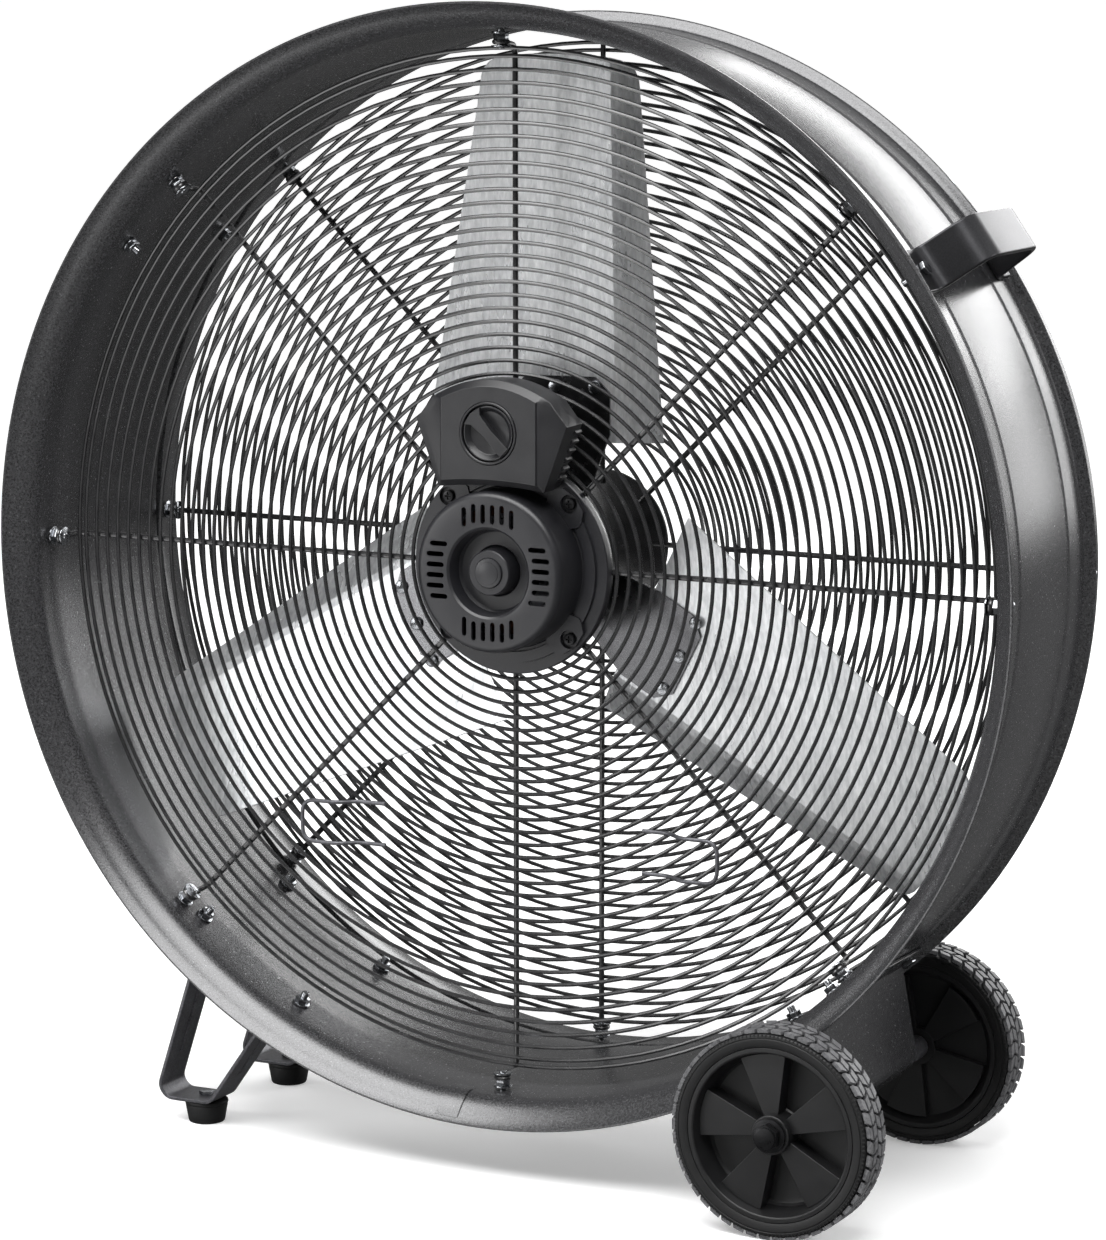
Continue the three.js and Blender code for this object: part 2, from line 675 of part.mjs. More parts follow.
function bladePlan() {
  const { tip, root: inner, leadTip, trailTip, tipCorner } = rotor;
  const edge = (x) => Math.sqrt(tip ** 2 - x ** 2);
  const angle = (x) => Math.atan2(edge(x), x);
  return new THREE.Shape()
    .moveTo(-rotor.leadRoot, inner)
    .lineTo(rotor.trailRoot, inner)
    .lineTo(trailTip, edge(trailTip) - tipCorner)
    .quadraticCurveTo(trailTip, edge(trailTip), trailTip - tipCorner, edge(trailTip - tipCorner))
    .absarc(0, 0, tip, angle(trailTip - tipCorner), angle(tipCorner - leadTip))
    .quadraticCurveTo(-leadTip, edge(leadTip), -leadTip, edge(leadTip) - tipCorner)
    .closePath();
}

function blade() {
  const fold = (rotor.foldTip + rotor.foldRoot) / 2;
  const middle = (rotor.tip + rotor.root) / 2;
  const reach = rotor.tip - middle + 20;
  const foldPlace = rotor.plane + rotor.pitch * fold;
  const section = [
    [-220, foldPlace - 220 * rotor.pitch],
    [0, foldPlace],
    [60, foldPlace + 60 * rotor.foldPitch],
  ];
  const lean = Math.atan((rotor.foldTip - rotor.foldRoot) / (rotor.tip - rotor.root));
  const level = new THREE.Matrix4().makeShear(0, 0, 0, 0, 0, rotor.pitch * Math.sin(lean));
  const sheet = bentSheet(section, rotor.sheet, -reach, reach)
    .rotateX(-Math.PI / 2)
    .applyMatrix4(level) // keeps the main panel parallel to its arm
    .rotateY(lean)
    .translate(fold, 0, middle);
  const rivets = rivet.across.map((x) => {
    const [front, back] = [-spider.sheet / 2 - gap, armToBlade + rotor.sheet / 2];
    const head = (from, to) => barY(rivet.head, from, to, 8, x, rivet.radius);
    return onArm(
      join(
        head(front - rivet.headHeight, front),
        barY(rivet.shank, front - 1, back + 1, 6, x, rivet.radius),
        head(back - 0.2, back + rivet.headHeight),
      ),
    );
  });
  return join(common(sheet, plate(bladePlan(), -90, 90)), ...rivets);
}
for (let i = 0; i < rotor.blades; i++) add(`blade_${i + 1}`, toPlace(blade(), i), sheetAluminium);

function spiderPlate() {
  const { lead, trail, reach, start, boss } = spider;
  const corner = 12;
  const shoulder = reach - 45;
  const arm = () =>
    onArm(
      cut(
        plate(
          [
            [-boss, start],
            [boss, start],
            [trail, shoulder],
            [trail, reach - corner],
            [trail - corner, reach],
            [corner - lead, reach],
            [-lead, reach - corner],
            [-lead, shoulder],
          ],
          -spider.sheet / 2,
          spider.sheet / 2,
        ),
        ...rivet.across.map((x) => barY(rivet.shank + gap, -9, 9, 8, x, rivet.radius)),
      ),
    );
  const arms = Array.from({ length: rotor.blades }, (_, i) => toPlace(arm(), i));
  const hub = barY(boss, spider.front, spider.back, 16);
  return cut(join(hub, ...arms), barY(shaft.radius + gap, spider.front - 1, spider.back + 1, 16));
}
add("hub_spider", spiderPlate(), glossBlack);
const nutFront = spider.back + gap;
add(
  "hub_nut",
  cut(
    barY(acrossFlats(hubNut.across), nutFront, nutFront + hubNut.thick, 6),
    barY(shaft.radius + gap, nutFront - 1, nutFront + hubNut.thick + 1, 16),
  ),
  zinc,
);

// Bolts through the drum: a hexagon head outside, and a flanged nut on the shank's end inside.
function strapFastener(sheet, angle, y) {
  const head = drum.radius + sheet + 2 * gap;
  const nut = drum.innerFace - gap;
  const hexagon = acrossFlats(strapBolt.across);
  return join(
    barOut(hexagon, head, head + strapBolt.headHeight, angle, y, 6),
    barOut(strapBolt.shank, nut - strapBolt.nutHeight - strapBolt.tail, head + 1, angle, y, 6),
    barOut(hexagon, nut - strapBolt.nutHeight, nut, angle, y, 6),
    barOut(strapBolt.washer, nut - 1.5, nut, angle, y),
  );
}

// Grab handles: a flat strap bent into a low arch along the drum.
for (const [side, angle] of Object.entries(handleAngles)) {
  const seat = drum.radius + gap + handle.sheet / 2;
  const top = seat + handle.height;
  const half = [
    [handle.end, seat],
    [handle.foot, seat],
    [handle.gripHalf, top],
  ];
  const line = rounded([...half, ...half.map(([y, r]) => [-y, r]).reverse()], handle.bend);
  const strap = bentSheet(line.reverse(), handle.sheet, -handle.width / 2, handle.width / 2)
    .rotateZ(Math.PI / 2)
    .rotateY(radians(90 - angle));
  const holes = [-1, 1].map((end) =>
    barOut(strapBolt.shank + gap, seat - 9, seat + 9, angle, end * handle.bolt),
  );
  add(`handle_${side}`, cut(strap, ...holes), glossBlack);
  for (const [name, end] of Object.entries(ends))
    add(`handle_bolt_${side}_${name}`, strapFastener(handle.sheet, angle, end * handle.bolt), zinc);
}

// Bent steel strip under the drum, by angles below the horizontal on one side or the other.
const seatOfStrip = drum.radius + gap + strip.sheet / 2;
const onDrum = (side, below) => polar(seatOfStrip, side > 0 ? 360 - below : 180 + below);
function bentStrip(side, low, from, to) {
  const pads = strip.padEnds.map((below) => onDrum(side, below));
  const line = rounded([...pads.slice(0, 2), ...low, ...pads.slice(2)], strip.bend);
  const sheet = bentSheet(side > 0 ? line.reverse() : line, strip.sheet, from, to);
  const boltAngles = stripBolts.map((below) => (side > 0 ? 360 - below : 180 + below));
  return { sheet, boltAngles };
}
const stripHole = (angle, y) => barOut(strapBolt.shank + gap, seatOfStrip - 9, seatOfStrip + 9, angle, y);

// The two legs, each with a rubber foot screwed under its flat.
for (const [name, end] of Object.entries(ends)) {
  const y = end * strip.along;
  const low = [
    [leg.outerX, -leg.bottom + 9],
    [leg.outerX + 7, -leg.bottom],
    [leg.innerX, -leg.bottom],
  ];
  const { sheet, boltAngles } = bentStrip(-1, low, y - strip.width / 2, y + strip.width / 2);
  const top = -leg.bottom + strip.sheet / 2 + gap;
  const underside = -leg.bottom - strip.sheet / 2 - gap;
  const screwEnd = -axisHeight + foot.seat;
  const footHole = bar(foot.shank + gap, [foot.x, y, screwEnd], [foot.x, y, top + 9], 8);
  add(`leg_${name}`, cut(sheet, ...boltAngles.map((angle) => stripHole(angle, y)), footHole), greySteel);
  const rubberFoot = new THREE.CylinderGeometry(foot.top, foot.floor, underside + axisHeight, 24)
    .rotateX(Math.PI / 2)
    .translate(foot.x, y, (underside - axisHeight) / 2);
  add(`foot_${name}`, cut(rubberFoot, footHole), rubber);
  const screw = join(
    bar(foot.shank, [foot.x, y, screwEnd + gap], [foot.x, y, top + 1], 8),
    bar(foot.head, [foot.x, y, top], [foot.x, y, top + foot.headHeight], 6),
  );
  add(`foot_screw_${name}`, screw, zinc);
  boltAngles.forEach((angle, i) =>
    add(`leg_bolt_${name}_${i + 1}`, strapFastener(strip.sheet, angle, y), zinc),
  );
}

// The wheel bracket: a bent trough with a web at each end that carries the axle.
const axlePlace = [wheel.x, wheel.radius - axisHeight];
function wheelBracket() {
  const low = [
    [bracket.outer[0], -bracket.outer[1]],
    [bracket.corner[0], -bracket.corner[1]],
  ];
  const { sheet, boltAngles } = bentStrip(1, low, -bracket.half, bracket.half);
  const [upper, lower] = [strip.padEnds[1], strip.padEnds[2]];
  const middle = onDrum(1, (upper + lower) / 2);
  const webOutline = [onDrum(1, lower), ...low.reverse(), onDrum(1, upper), middle];
  const webs = [-1, 1].map((end) => {
    const places = [end * bracket.half, end * (bracket.half - bracket.web)].sort((a, b) => a - b);
    return plate(webOutline, ...places);
  });
  const bore = barY(axle.radius + gap, -bracket.half - 9, bracket.half + 9, 16, ...axlePlace);
  const holes = boltAngles.flatMap((angle) => [-1, 1].map((end) => stripHole(angle, end * strip.along)));
  for (const [name, end] of Object.entries(ends))
    boltAngles.forEach((angle, i) =>
      add(`bracket_bolt_${name}_${i + 1}`, strapFastener(strip.sheet, angle, end * strip.along), zinc),
    );
  return cut(join(sheet, ...webs), bore, ...holes);
}
add("wheel_bracket", wheelBracket(), texturedBlack);

// The axle, and at each end a spacer, a wheel of hub and tyre, and a flanged cap nut.
const wheelMiddle = wheel.inner + wheel.width / 2;
const bossHalf = wheel.width / 2 - wheel.bossProud;
const nutSeat = wheelMiddle + bossHalf + gap + axle.washerThick;
const axleEnd = nutSeat + axle.nutThick - axle.cap - gap;
add("axle", barY(axle.radius, -axleEnd, axleEnd, 16, ...axlePlace), zinc);

function wheelHub() {
  const half = wheel.width / 2 - 1;
  const web = wheel.width / 2 - wheel.dishDepth;
  const face1 = [
    [wheel.lip, half],
    [wheel.dish, web],
    [wheel.boss, web],
    [wheel.boss, bossHalf],
    [axle.radius + gap, bossHalf],
  ];
  const face2 = face1.map(([r, y]) => [r, -y]).reverse();
  const dished = turned([[wheel.rim, -half], [wheel.rim, half], ...face1, ...face2]);
  const wedges = Array.from({ length: wheel.spokes }, (_, i) => {
    const angle = 81 + (i * 360) / wheel.spokes;
    const outline = [
      polar(wheel.boss - 2, angle - 30),
      polar(wheel.dish, angle - wheel.spokeHalfAngle),
      polar(wheel.dish, angle + wheel.spokeHalfAngle),
      polar(wheel.boss - 2, angle + 30),
    ];
    return plate(outline, -web - wheel.spokeRise, -web + 1);
  });
  return join(dished, ...wedges);
}

function tyre() {
  const half = wheel.width / 2;
  const inner = wheel.rim + gap;
  return turned([
    [wheel.radius, 3 - half],
    [wheel.radius, half - 3],
    [wheel.radius - 3, half],
    [inner, half - 1],
    [inner, 1 - half],
    [wheel.radius - 3, -half],
  ], 32);
}

const ring = (outer, from, to, sides = 16) =>
  cut(barY(outer, from, to, sides), barY(axle.radius + gap, from - 1, to + 1, 16));
for (const [name, end] of Object.entries(ends)) {
  const atEnd = (geometry, along = 0) => {
    if (end > 0) geometry.rotateZ(Math.PI);
    return geometry.translate(axlePlace[0], end * along, axlePlace[1]);
  };
  add(`wheel_hub_${name}`, atEnd(wheelHub(), wheelMiddle), mouldedBlack);
  add(`tyre_${name}`, atEnd(tyre(), wheelMiddle), rubber);
  const spacer = ring(axle.spacer, gap - wheelMiddle + bossHalf, -bracket.half - gap);
  add(`axle_spacer_${name}`, atEnd(spacer), greySteel);
  const nutEnd = nutSeat + axle.nutThick;
  const nut = join(
    barY(acrossFlats(axle.across), -nutEnd, -nutSeat, 6),
    barY(axle.washer, -nutSeat - 0.5, axle.washerThick - nutSeat, 16),
  );
  add(`axle_nut_${name}`, atEnd(cut(nut, barY(axle.radius + gap, -axleEnd - gap, 0, 16))), mouldedBlack);
}

export default root;
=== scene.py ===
import json
import math

import bmesh
import bpy
from mathutils import Matrix, Quaternion, Vector


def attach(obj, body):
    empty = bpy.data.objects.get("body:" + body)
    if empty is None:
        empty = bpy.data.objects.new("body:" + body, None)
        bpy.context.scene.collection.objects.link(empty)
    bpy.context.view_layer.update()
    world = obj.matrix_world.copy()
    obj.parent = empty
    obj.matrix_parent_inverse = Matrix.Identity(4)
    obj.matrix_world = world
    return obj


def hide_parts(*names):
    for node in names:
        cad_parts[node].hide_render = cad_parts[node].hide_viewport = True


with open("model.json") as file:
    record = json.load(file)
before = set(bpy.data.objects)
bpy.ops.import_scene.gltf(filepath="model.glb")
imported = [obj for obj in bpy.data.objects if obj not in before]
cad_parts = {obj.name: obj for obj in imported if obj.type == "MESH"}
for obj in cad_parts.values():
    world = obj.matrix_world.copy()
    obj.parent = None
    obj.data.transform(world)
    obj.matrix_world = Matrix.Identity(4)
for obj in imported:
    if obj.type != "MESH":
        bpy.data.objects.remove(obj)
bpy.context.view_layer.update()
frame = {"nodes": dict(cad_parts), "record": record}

# Shapes are drawn in millimetres from the drum's axis: x right, y to the rear, z up.
axisHeight = 471
toFrame = Matrix.Translation((0, 0, axisHeight / 1000)) @ Matrix.Scale(0.001, 4)
bodies = frame["record"]["behaviour"]["bodies"]
bodyOf = {node: body for body, nodes in bodies.items() for node in nodes}
slotOf = {part["node"]: part["material_slot"] for part in frame["record"]["subparts"]}


# Helpers.
def linearColour(hexText):
    channels = [int(hexText[i : i + 2], 16) / 255 for i in (1, 3, 5)]
    return [c / 12.92 if c <= 0.04045 else ((c + 0.055) / 1.055) ** 2.4 for c in channels] + [1]


def addNode(tree, kind, inputs=None, **settings):
    node = tree.nodes.new(kind)
    for name, value in settings.items():
        setattr(node, name, value)
    for name, value in (inputs or {}).items():
        if isinstance(value, bpy.types.NodeSocket):
            tree.links.new(value, node.inputs[name])
        else:
            node.inputs[name].default_value = value
    return node


# grain, cloud and bump are millimetres: the size of the fine and the broad pattern, and the relief's height.
def surface(
    name, dark, light, roughness, grain, bump, metallic=0.0, cloud=60, stretch=(1, 1, 1), **sockets
):
    material = bpy.data.materials.new(name)
    material.use_nodes = True
    tree = material.node_tree
    shader = tree.nodes["Principled BSDF"]
    place = addNode(tree, "ShaderNodeTexCoord")
    mapped = addNode(
        tree,
        "ShaderNodeMapping",
        {"Vector": place.outputs["Object"], "Scale": stretch},
    )
    fine = addNode(
        tree,
        "ShaderNodeTexNoise",
        {"Vector": mapped.outputs["Vector"], "Scale": 1000 / grain, "Detail": 4.0, "Roughness": 0.6},
    )
    broad = addNode(
        tree,
        "ShaderNodeTexNoise",
        {"Vector": mapped.outputs["Vector"], "Scale": 1000 / cloud, "Detail": 5.0, "Roughness": 0.65},
    )
    both = addNode(
        tree,
        "ShaderNodeMath",
        {0: fine.outputs["Fac"], 1: broad.outputs["Fac"]},
        operation="ADD",
    )
    share = addNode(  # 0 is the dark colour and 1 the light one
        tree,
        "ShaderNodeMapRange",
        {"Value": both.outputs["Value"], "From Min": 0.72, "From Max": 1.28},
    )
    colour = addNode(tree, "ShaderNodeMix", data_type="RGBA")
    colour.inputs[6].default_value = linearColour(dark)
    colour.inputs[7].default_value = linearColour(light)
    tree.links.new(share.outputs["Result"], colour.inputs[0])
    rough = addNode(
        tree,
        "ShaderNodeMapRange",
        {
            "Value": broad.outputs["Fac"],
            "From Min": 0.3,
            "From Max": 0.7,
            "To Min": roughness[0],
            "To Max": roughness[1],
        },
    )
    relief = addNode(
        tree,
        "ShaderNodeBump",
        {"Height": fine.outputs["Fac"], "Strength": 1.0, "Distance": bump / 1000},
    )
    tree.links.new(colour.outputs[2], shader.inputs["Base Color"])
    tree.links.new(rough.outputs["Result"], shader.inputs["Roughness"])
    tree.links.new(relief.outputs["Normal"], shader.inputs["Normal"])
    shader.inputs["Metallic"].default_value = metallic
    for socket, value in sockets.items():
        shader.inputs[socket].default_value = value
    return material


def finishPiece(
    shape, name, finishes, nodes=(), body="frame", sharp=35, bevel=0, segments=2, recalc=True
):
    if recalc:
        bmesh.ops.recalc_face_normals(shape, faces=shape.faces)
    shape.transform(toFrame)
    mesh = bpy.data.meshes.new(name)
    shape.to_mesh(mesh)
    shape.free()
    piece = bpy.data.objects.new(name, mesh)
    bpy.context.scene.collection.objects.link(piece)
    for finish in finishes if isinstance(finishes, tuple) else (finishes,):
        mesh.materials.append(finish)
    mesh.shade_smooth()
    mesh.set_sharp_from_angle(angle=math.radians(sharp))
    if bevel:
        edges = piece.modifiers.new("edges", "BEVEL")
        edges.width = bevel / 1000
        edges.segments = segments
        edges.limit_method = "ANGLE"
        edges.angle_limit = math.radians(28)
        edges.harden_normals = True
    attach(piece, body)
    if nodes:
        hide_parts(*nodes)


# A merged copy of a CAD node with rounded edges. Its faces already point outwards.
def softened(node, finish, bevel):
    shape = bmesh.new()
    shape.from_mesh(frame["nodes"][node].data)
    bmesh.ops.remove_doubles(shape, verts=shape.verts, dist=2e-6)
    bmesh.ops.dissolve_limit(shape, angle_limit=math.radians(0.8), verts=shape.verts, edges=shape.edges)
    shape.transform(toFrame.inverted())
    finishPiece(shape, node + "_finished", finish, (node,), bodyOf[node], bevel=bevel, recalc=False)


# Turns a closed profile of (radius, y) points round an axis along y.
def turned(shape, profile, steps, height=0, start=0.0):
    points = [shape.verts.new((radius, y, height)) for radius, y in profile]
    edges = [shape.edges.new(pair) for pair in zip(points, points[1:] + points[:1])]
    centre = (0, 0, height)
    tilt = Matrix.Rotation(-math.radians(start), 3, "Y")
    bmesh.ops.rotate(shape, verts=points, cent=centre, matrix=tilt)
    bmesh.ops.spin(
        shape,
        geom=points + edges,
        cent=centre,
        axis=(0, 1, 0),
        angle=2 * math.pi,
        steps=steps,
        use_merge=True,
    )


def wireRun(shape, points, radius, sides=10, capped=True):
    points = [Vector(point) for point in points]
    rings = []
    heading, turn = Vector((0, 0, 1)), Quaternion()
    for i, point in enumerate(points):
        ahead = (points[min(i + 1, len(points) - 1)] - points[max(i - 1, 0)]).normalized()
        turn = heading.rotation_difference(ahead) @ turn
        heading = ahead
        made = bmesh.ops.create_circle(
            shape,
            cap_ends=capped and i in (0, len(points) - 1),
            segments=sides,
            radius=radius,
            matrix=Matrix.Translation(point) @ turn.to_matrix().to_4x4(),
        )
        rings.append(list(dict.fromkeys(edge for vert in made["verts"] for edge in vert.link_edges)))
    for low, high in zip(rings, rings[1:]):
        bmesh.ops.bridge_loops(shape, edges=low + high)


def roundedLine(line, bend, steps=5):
    points = [Vector(point) for point in line]
    made = [points[0]]
    for before, corner, after in zip(points, points[1:], points[2:]):
        reach = min(bend, (corner - before).length / 2.1, (after - corner).length / 2.1)
        start = corner + (before - corner).normalized() * reach
        end = corner + (after - corner).normalized() * reach
        made += [curvePoint(start, corner, end, k / steps) for k in range(steps + 1)]
    return made + [points[-1]]


def curvePoint(start, corner, end, t):
    return start * (1 - t) ** 2 + corner * 2 * t * (1 - t) + end * t**2


def polar(radius, angle):
    return radius * math.cos(math.radians(angle)), radius * math.sin(math.radians(angle))


# A place on the drum's wall, with its z away from the axis.
def outwards(angle, y, radius=0.0):
    x, z = polar(1, angle)
    turn = Vector((0, 0, 1)).rotation_difference(Vector((x, 0, z)))
    return Matrix.Translation((radius * x, y, radius * z)) @ turn.to_matrix().to_4x4()


# A place with its z along the drum's axis.
def alongY(x=0.0, z=0.0):
    turn = Vector((0, 0, 1)).rotation_difference(Vector((0, 1, 0)))
    return Matrix.Translation((x, 0, z)) @ turn.to_matrix().to_4x4()


def disc(shape, place, radius, low, high, sides=24, top=None, bevel=0.0):
    made = bmesh.ops.create_cone(
        shape,
        cap_ends=True,
        segments=sides,
        radius1=radius,
        radius2=radius if top is None else top,
        depth=high - low,
        matrix=place @ Matrix.Translation((0, 0, (low + high) / 2)),
    )
    if bevel:
        edges = dict.fromkeys(edge for vert in made["verts"] for edge in vert.link_edges)
        rims = [edge for edge in edges if any(len(face.verts) > 4 for face in edge.link_faces)]  # of the caps
        bmesh.ops.bevel(
            shape,
            geom=rims,
            offset=bevel,
            affect="EDGES",
            segments=2,
            profile=0.5,
            material=-1,
            clamp_overlap=True,
        )


def planSheet(shape, outline):
    return shape.faces.new([shape.verts.new((x, 0, z)) for x, z in outline])


def planSolid(shape, outline, low, high):
    face = planSheet(shape, outline)
    made = bmesh.ops.extrude_face_region(shape, geom=[face])
    far = [item for item in made["geom"] if isinstance(item, bmesh.types.BMVert)]
    near = list(face.verts)
    bmesh.ops.translate(shape, verts=near, vec=(0, low, 0))
    bmesh.ops.translate(shape, verts=far, vec=(0, high, 0))
    faces = list({face for vert in near + far for face in vert.link_faces})
    bmesh.ops.recalc_face_normals(shape, faces=faces)
    return near + far


def bentStrap(shape, line, sheet, low, high):
    points = [Vector(point) for point in line]
    runs = [(after - before).normalized() for before, after in zip(points, points[1:])]
    under, over = [], []
    for i, point in enumerate(points):
        before, after = runs[max(i - 1, 0)], runs[min(i, len(runs) - 1)]
        across = Vector((-(before.y + after.y), before.x + after.x))
        mitre = across * (sheet / 2 / (1 + before.dot(after)))
        under.append(point - mitre)
        over.append(point + mitre)
    planSolid(shape, under + over[::-1], low, high)


def cutAway(shape, cutters):
    holders = []
    for name, source in (("whole", shape), ("cutters", cutters)):
        bmesh.ops.recalc_face_normals(source, faces=source.faces)
        mesh = bpy.data.meshes.new(name)
        source.to_mesh(mesh)
        source.free()
        holders.append(bpy.data.objects.new(name, mesh))
        bpy.context.scene.collection.objects.link(holders[-1])
    whole, tool = holders
    carve = whole.modifiers.new("carve", "BOOLEAN")
    carve.operation = "DIFFERENCE"
    carve.solver = "EXACT"
    carve.use_self = True
    carve.object = tool
    result = bmesh.new()
    result.from_object(whole, bpy.context.evaluated_depsgraph_get())
    for holder in holders:
        bpy.data.objects.remove(holder)
    return result


# Materials. The grain of smooth paint, castings and mouldings is drawn about 1 mm wide, coarser than the
# real one, so that it shows.
# Textured powder coat on rolled steel: a fine orange-peel grain that breaks up every highlight.
powderCoat = surface(
    "texturedPowderCoat", "#19191a", "#4a4a4c", (0.22, 0.28), 1.15, 0.075, metallic=0.3, cloud=1.9, IOR=1.8
)
# Dipped gloss paint on drawn wire: smooth, nearly black, with a thin bright line along each wire.
wireGloss = surface("dippedBlackPaint", "#171718", "#242425", (0.2, 0.28), 2.5, 0.01, cloud=20, IOR=1.8)
# Satin paint on formed steel strap, pale where it mirrors a lamp.
strapSatin = surface("satinBlackPaint", "#363638", "#444446", (0.3, 0.36), 1.2, 0.012, metallic=0.85)
# Charcoal paint on pressure die castings: satin, with a faint cast grain.
castCharcoal = surface("paintedCasting", "#17171a", "#212124", (0.34, 0.42), 1.1, 0.02, cloud=25)
# Moulded ABS: satin, with a fine spark-eroded grain.
mouldedAbs = surface("mouldedCharcoalAbs", "#161618", "#202022", (0.3, 0.38), 0.9, 0.015, cloud=25)
# Grey stoved paint on bent strip steel: a little cloudy, with soft highlights at the bends.
stripPaint = surface("greyStovedPaint", "#3c3c3f", "#68686c", (0.3, 0.42), 1.6, 0.06, metallic=0.6, cloud=22)
# Mill-finish aluminium sheet: bright, with soft streaks along the blade.
bladeSheet = surface(
    "millAluminium", "#b4b6b8", "#f0f1f2", (0.24, 0.34), 3.0, 0.004, metallic=0.7, stretch=(1.0, 1.0, 0.25)
)
# Bright zinc plate over steel: small sharp glints.
zincPlate = surface("brightZincPlate", "#7a7c80", "#b6b8bb", (0.14, 0.24), 1.5, 0.02, metallic=1.0, cloud=8)
# Moulded rubber of the feet: dull, with a faint bloom.
footRubber = surface("mouldedRubber", "#0b0b0c", "#151516", (0.55, 0.7), 1.2, 0.05, cloud=15)
# Moulded tyre flanks: dull black.
tyreRubber = surface("tyreRubber", "#0b0b0c", "#141415", (0.5, 0.62), 1.0, 0.04, cloud=18)
# Tread blocks, painted a lighter grey all over than the tyre's flanks: a painted highlight that stands for
# their lit tops, against which the grooves stay dark.
treadPaintedHighlight = surface("paintedHighlightTread", "#3a3a3c", "#68686a", (0.4, 0.5), 1.4, 0.06, cloud=14)
# Gloss paint on the drawn motor shell: black with sharp highlights.
housingBlack = surface("glossBlackPaint", "#060607", "#0f0f10", (0.14, 0.24), 1.5, 0.02, cloud=20)
# Moulded polypropylene wheel centre: satin, a shade greyer than the tyre's flanks.
wheelMoulding = surface("mouldedPolypropylene", "#111112", "#19191a", (0.36, 0.46), 1.0, 0.02, cloud=18)
# Satin black plate on the spider, dark where it mirrors the room and pale where it mirrors a lamp.
spiderPlate = surface("satinBlackPlate", "#606062", "#767678", (0.2, 0.3), 1.2, 0.01, metallic=1.0, cloud=20)
# Black oxide on turned steel: dark, with a soft metal sheen.
blackOxide = surface("blackOxide", "#101011", "#222224", (0.26, 0.38), 1.2, 0.03, metallic=0.6, cloud=8)
# Enamelled copper wire, its brown darkened past the copper's own colour as painted shade inside the motor,
# seen only as a brown glimmer through the vents.
copperPaintedShade = surface("enamelledCopper", "#2c150b", "#4a2815", (0.3, 0.45), 1.0, 0.15, metallic=0.8, cloud=6)
# Stacked steel laminations: bare grey edges in thin layers along the shaft.
laminations = surface(
    "stackedLaminations",
    "#55565a",
    "#85868a",
    (0.4, 0.55),
    1.0,
    0.08,
    metallic=0.9,
    cloud=10,
    stretch=(0.1, 1, 0.1),
)

# Drum. The lines below it are offsets (out, along) from the drum's radius or rim and a place on the axis.
drum = dict(
    radius=411,
    sheet=2,
    front=-116,
    back=116,
    rimRadius=430,
    rimRoll=1.6,
    flareFrom=4,
    flareLength=27,
    flareCurve=1.9,
    creaseInset=65,  # of the two rolled creases, from each end
    hoopPlace=89,
    lapFrom=264.6,  # the lap joint's two sides, in degrees round the axis
    lapTo=267.2,
    lapLength=34,
    steps=240,
)
hemLine = ((-2.6, 1.2), (-1.8, 0.2), (-0.6, 0), (-0.1, 0.9), (-0.1, 2.6), (-0.8, 3.6))
creaseLine = ((0, -4), (-0.3, -2), (-1, -0.6), (-1, 0.6), (-0.3, 2), (0, 4))
creaseInside = ((0, 4), (-0.2, 0), (0, -4))
hoopLine = ((0, -5), (0.6, -4.4), (3.5, -2.8), (6.6, -1.4), (7.8, -0.6), (8, 0), (7.8, 0.7), (6, 1.4))
hoopLine += ((2, 2), (0, 2.4))
hoopInside = ((0, 2.6), (3, 2), (6.5, 1), (8, 0), (6.8, -1.2), (3, -3.2), (0, -4.8))


def moved(line, radius, y):
    return [(radius + out, y + along) for out, along in line]


def flareLine(steps=12):
    rim = drum["rimRadius"] - drum["rimRoll"]
    rise = rim - drum["radius"]
    start, length = drum["front"] + drum["flareFrom"], drum["flareLength"] - drum["flareFrom"]
    shares = [k / steps for k in range(steps + 1)]
    return [(rim - rise * (1 - (1 - t) ** drum["flareCurve"]), start + t * length) for t in shares]


def drumShell():
    outer, inner = drum["radius"], drum["radius"] - drum["sheet"]
    front, back, hoop = drum["front"], drum["back"], drum["hoopPlace"]
    creases = (front + drum["creaseInset"], back - drum["creaseInset"])
    flare = flareLine()[1:]
    outside = moved(hemLine, drum["rimRadius"], front) + flare
    outside += moved(creaseLine, outer, creases[0]) + moved(creaseLine, outer, creases[1])
    outside += moved(hoopLine, outer, hoop) + [(outer, back - 0.6), (outer - 0.6, back)]
    inside = [(inner + 0.4, back), (inner, back - 0.6)] + moved(hoopInside, inner, hoop)
    inside += moved(creaseInside, inner, creases[1]) + moved(creaseInside, inner, creases[0])
    inside += [(r - 1.9, y - 0.5) for r, y in reversed(flare)]
    shape = bmesh.new()
    turned(shape, outside + inside, drum["steps"], start=90)
    return shape


# The sheet's overlapping end, a thin step across the flare's inner face.
def lapJoint():
    end = drum["front"] + drum["lapLength"]
    proud = [(r - 3.0, y - 0.9) for r, y in flareLine()] + [(drum["radius"] - 2.5, end)]
    sunk = [(r - 2.2, y - 0.6) for r, y in flareLine()] + [(drum["radius"] - 1.7, end)]
    shape = bmesh.new()
    x, z = polar(1, drum["lapFrom"])
    face = shape.faces.new([shape.verts.new((r * x, y, r * z)) for r, y in proud + sunk[::-1]])
    bmesh.ops.spin(
        shape,
        geom=[face],
        axis=(0, -1, 0),
        angle=math.radians(drum["lapTo"] - drum["lapFrom"]),
        steps=4,
    )
    return shape


finishPiece(drumShell(), "drum_rolled", powderCoat, ("drum_shell",), sharp=40)
finishPiece(lapJoint(), "drum_lap_joint", powderCoat)
print("drum made")

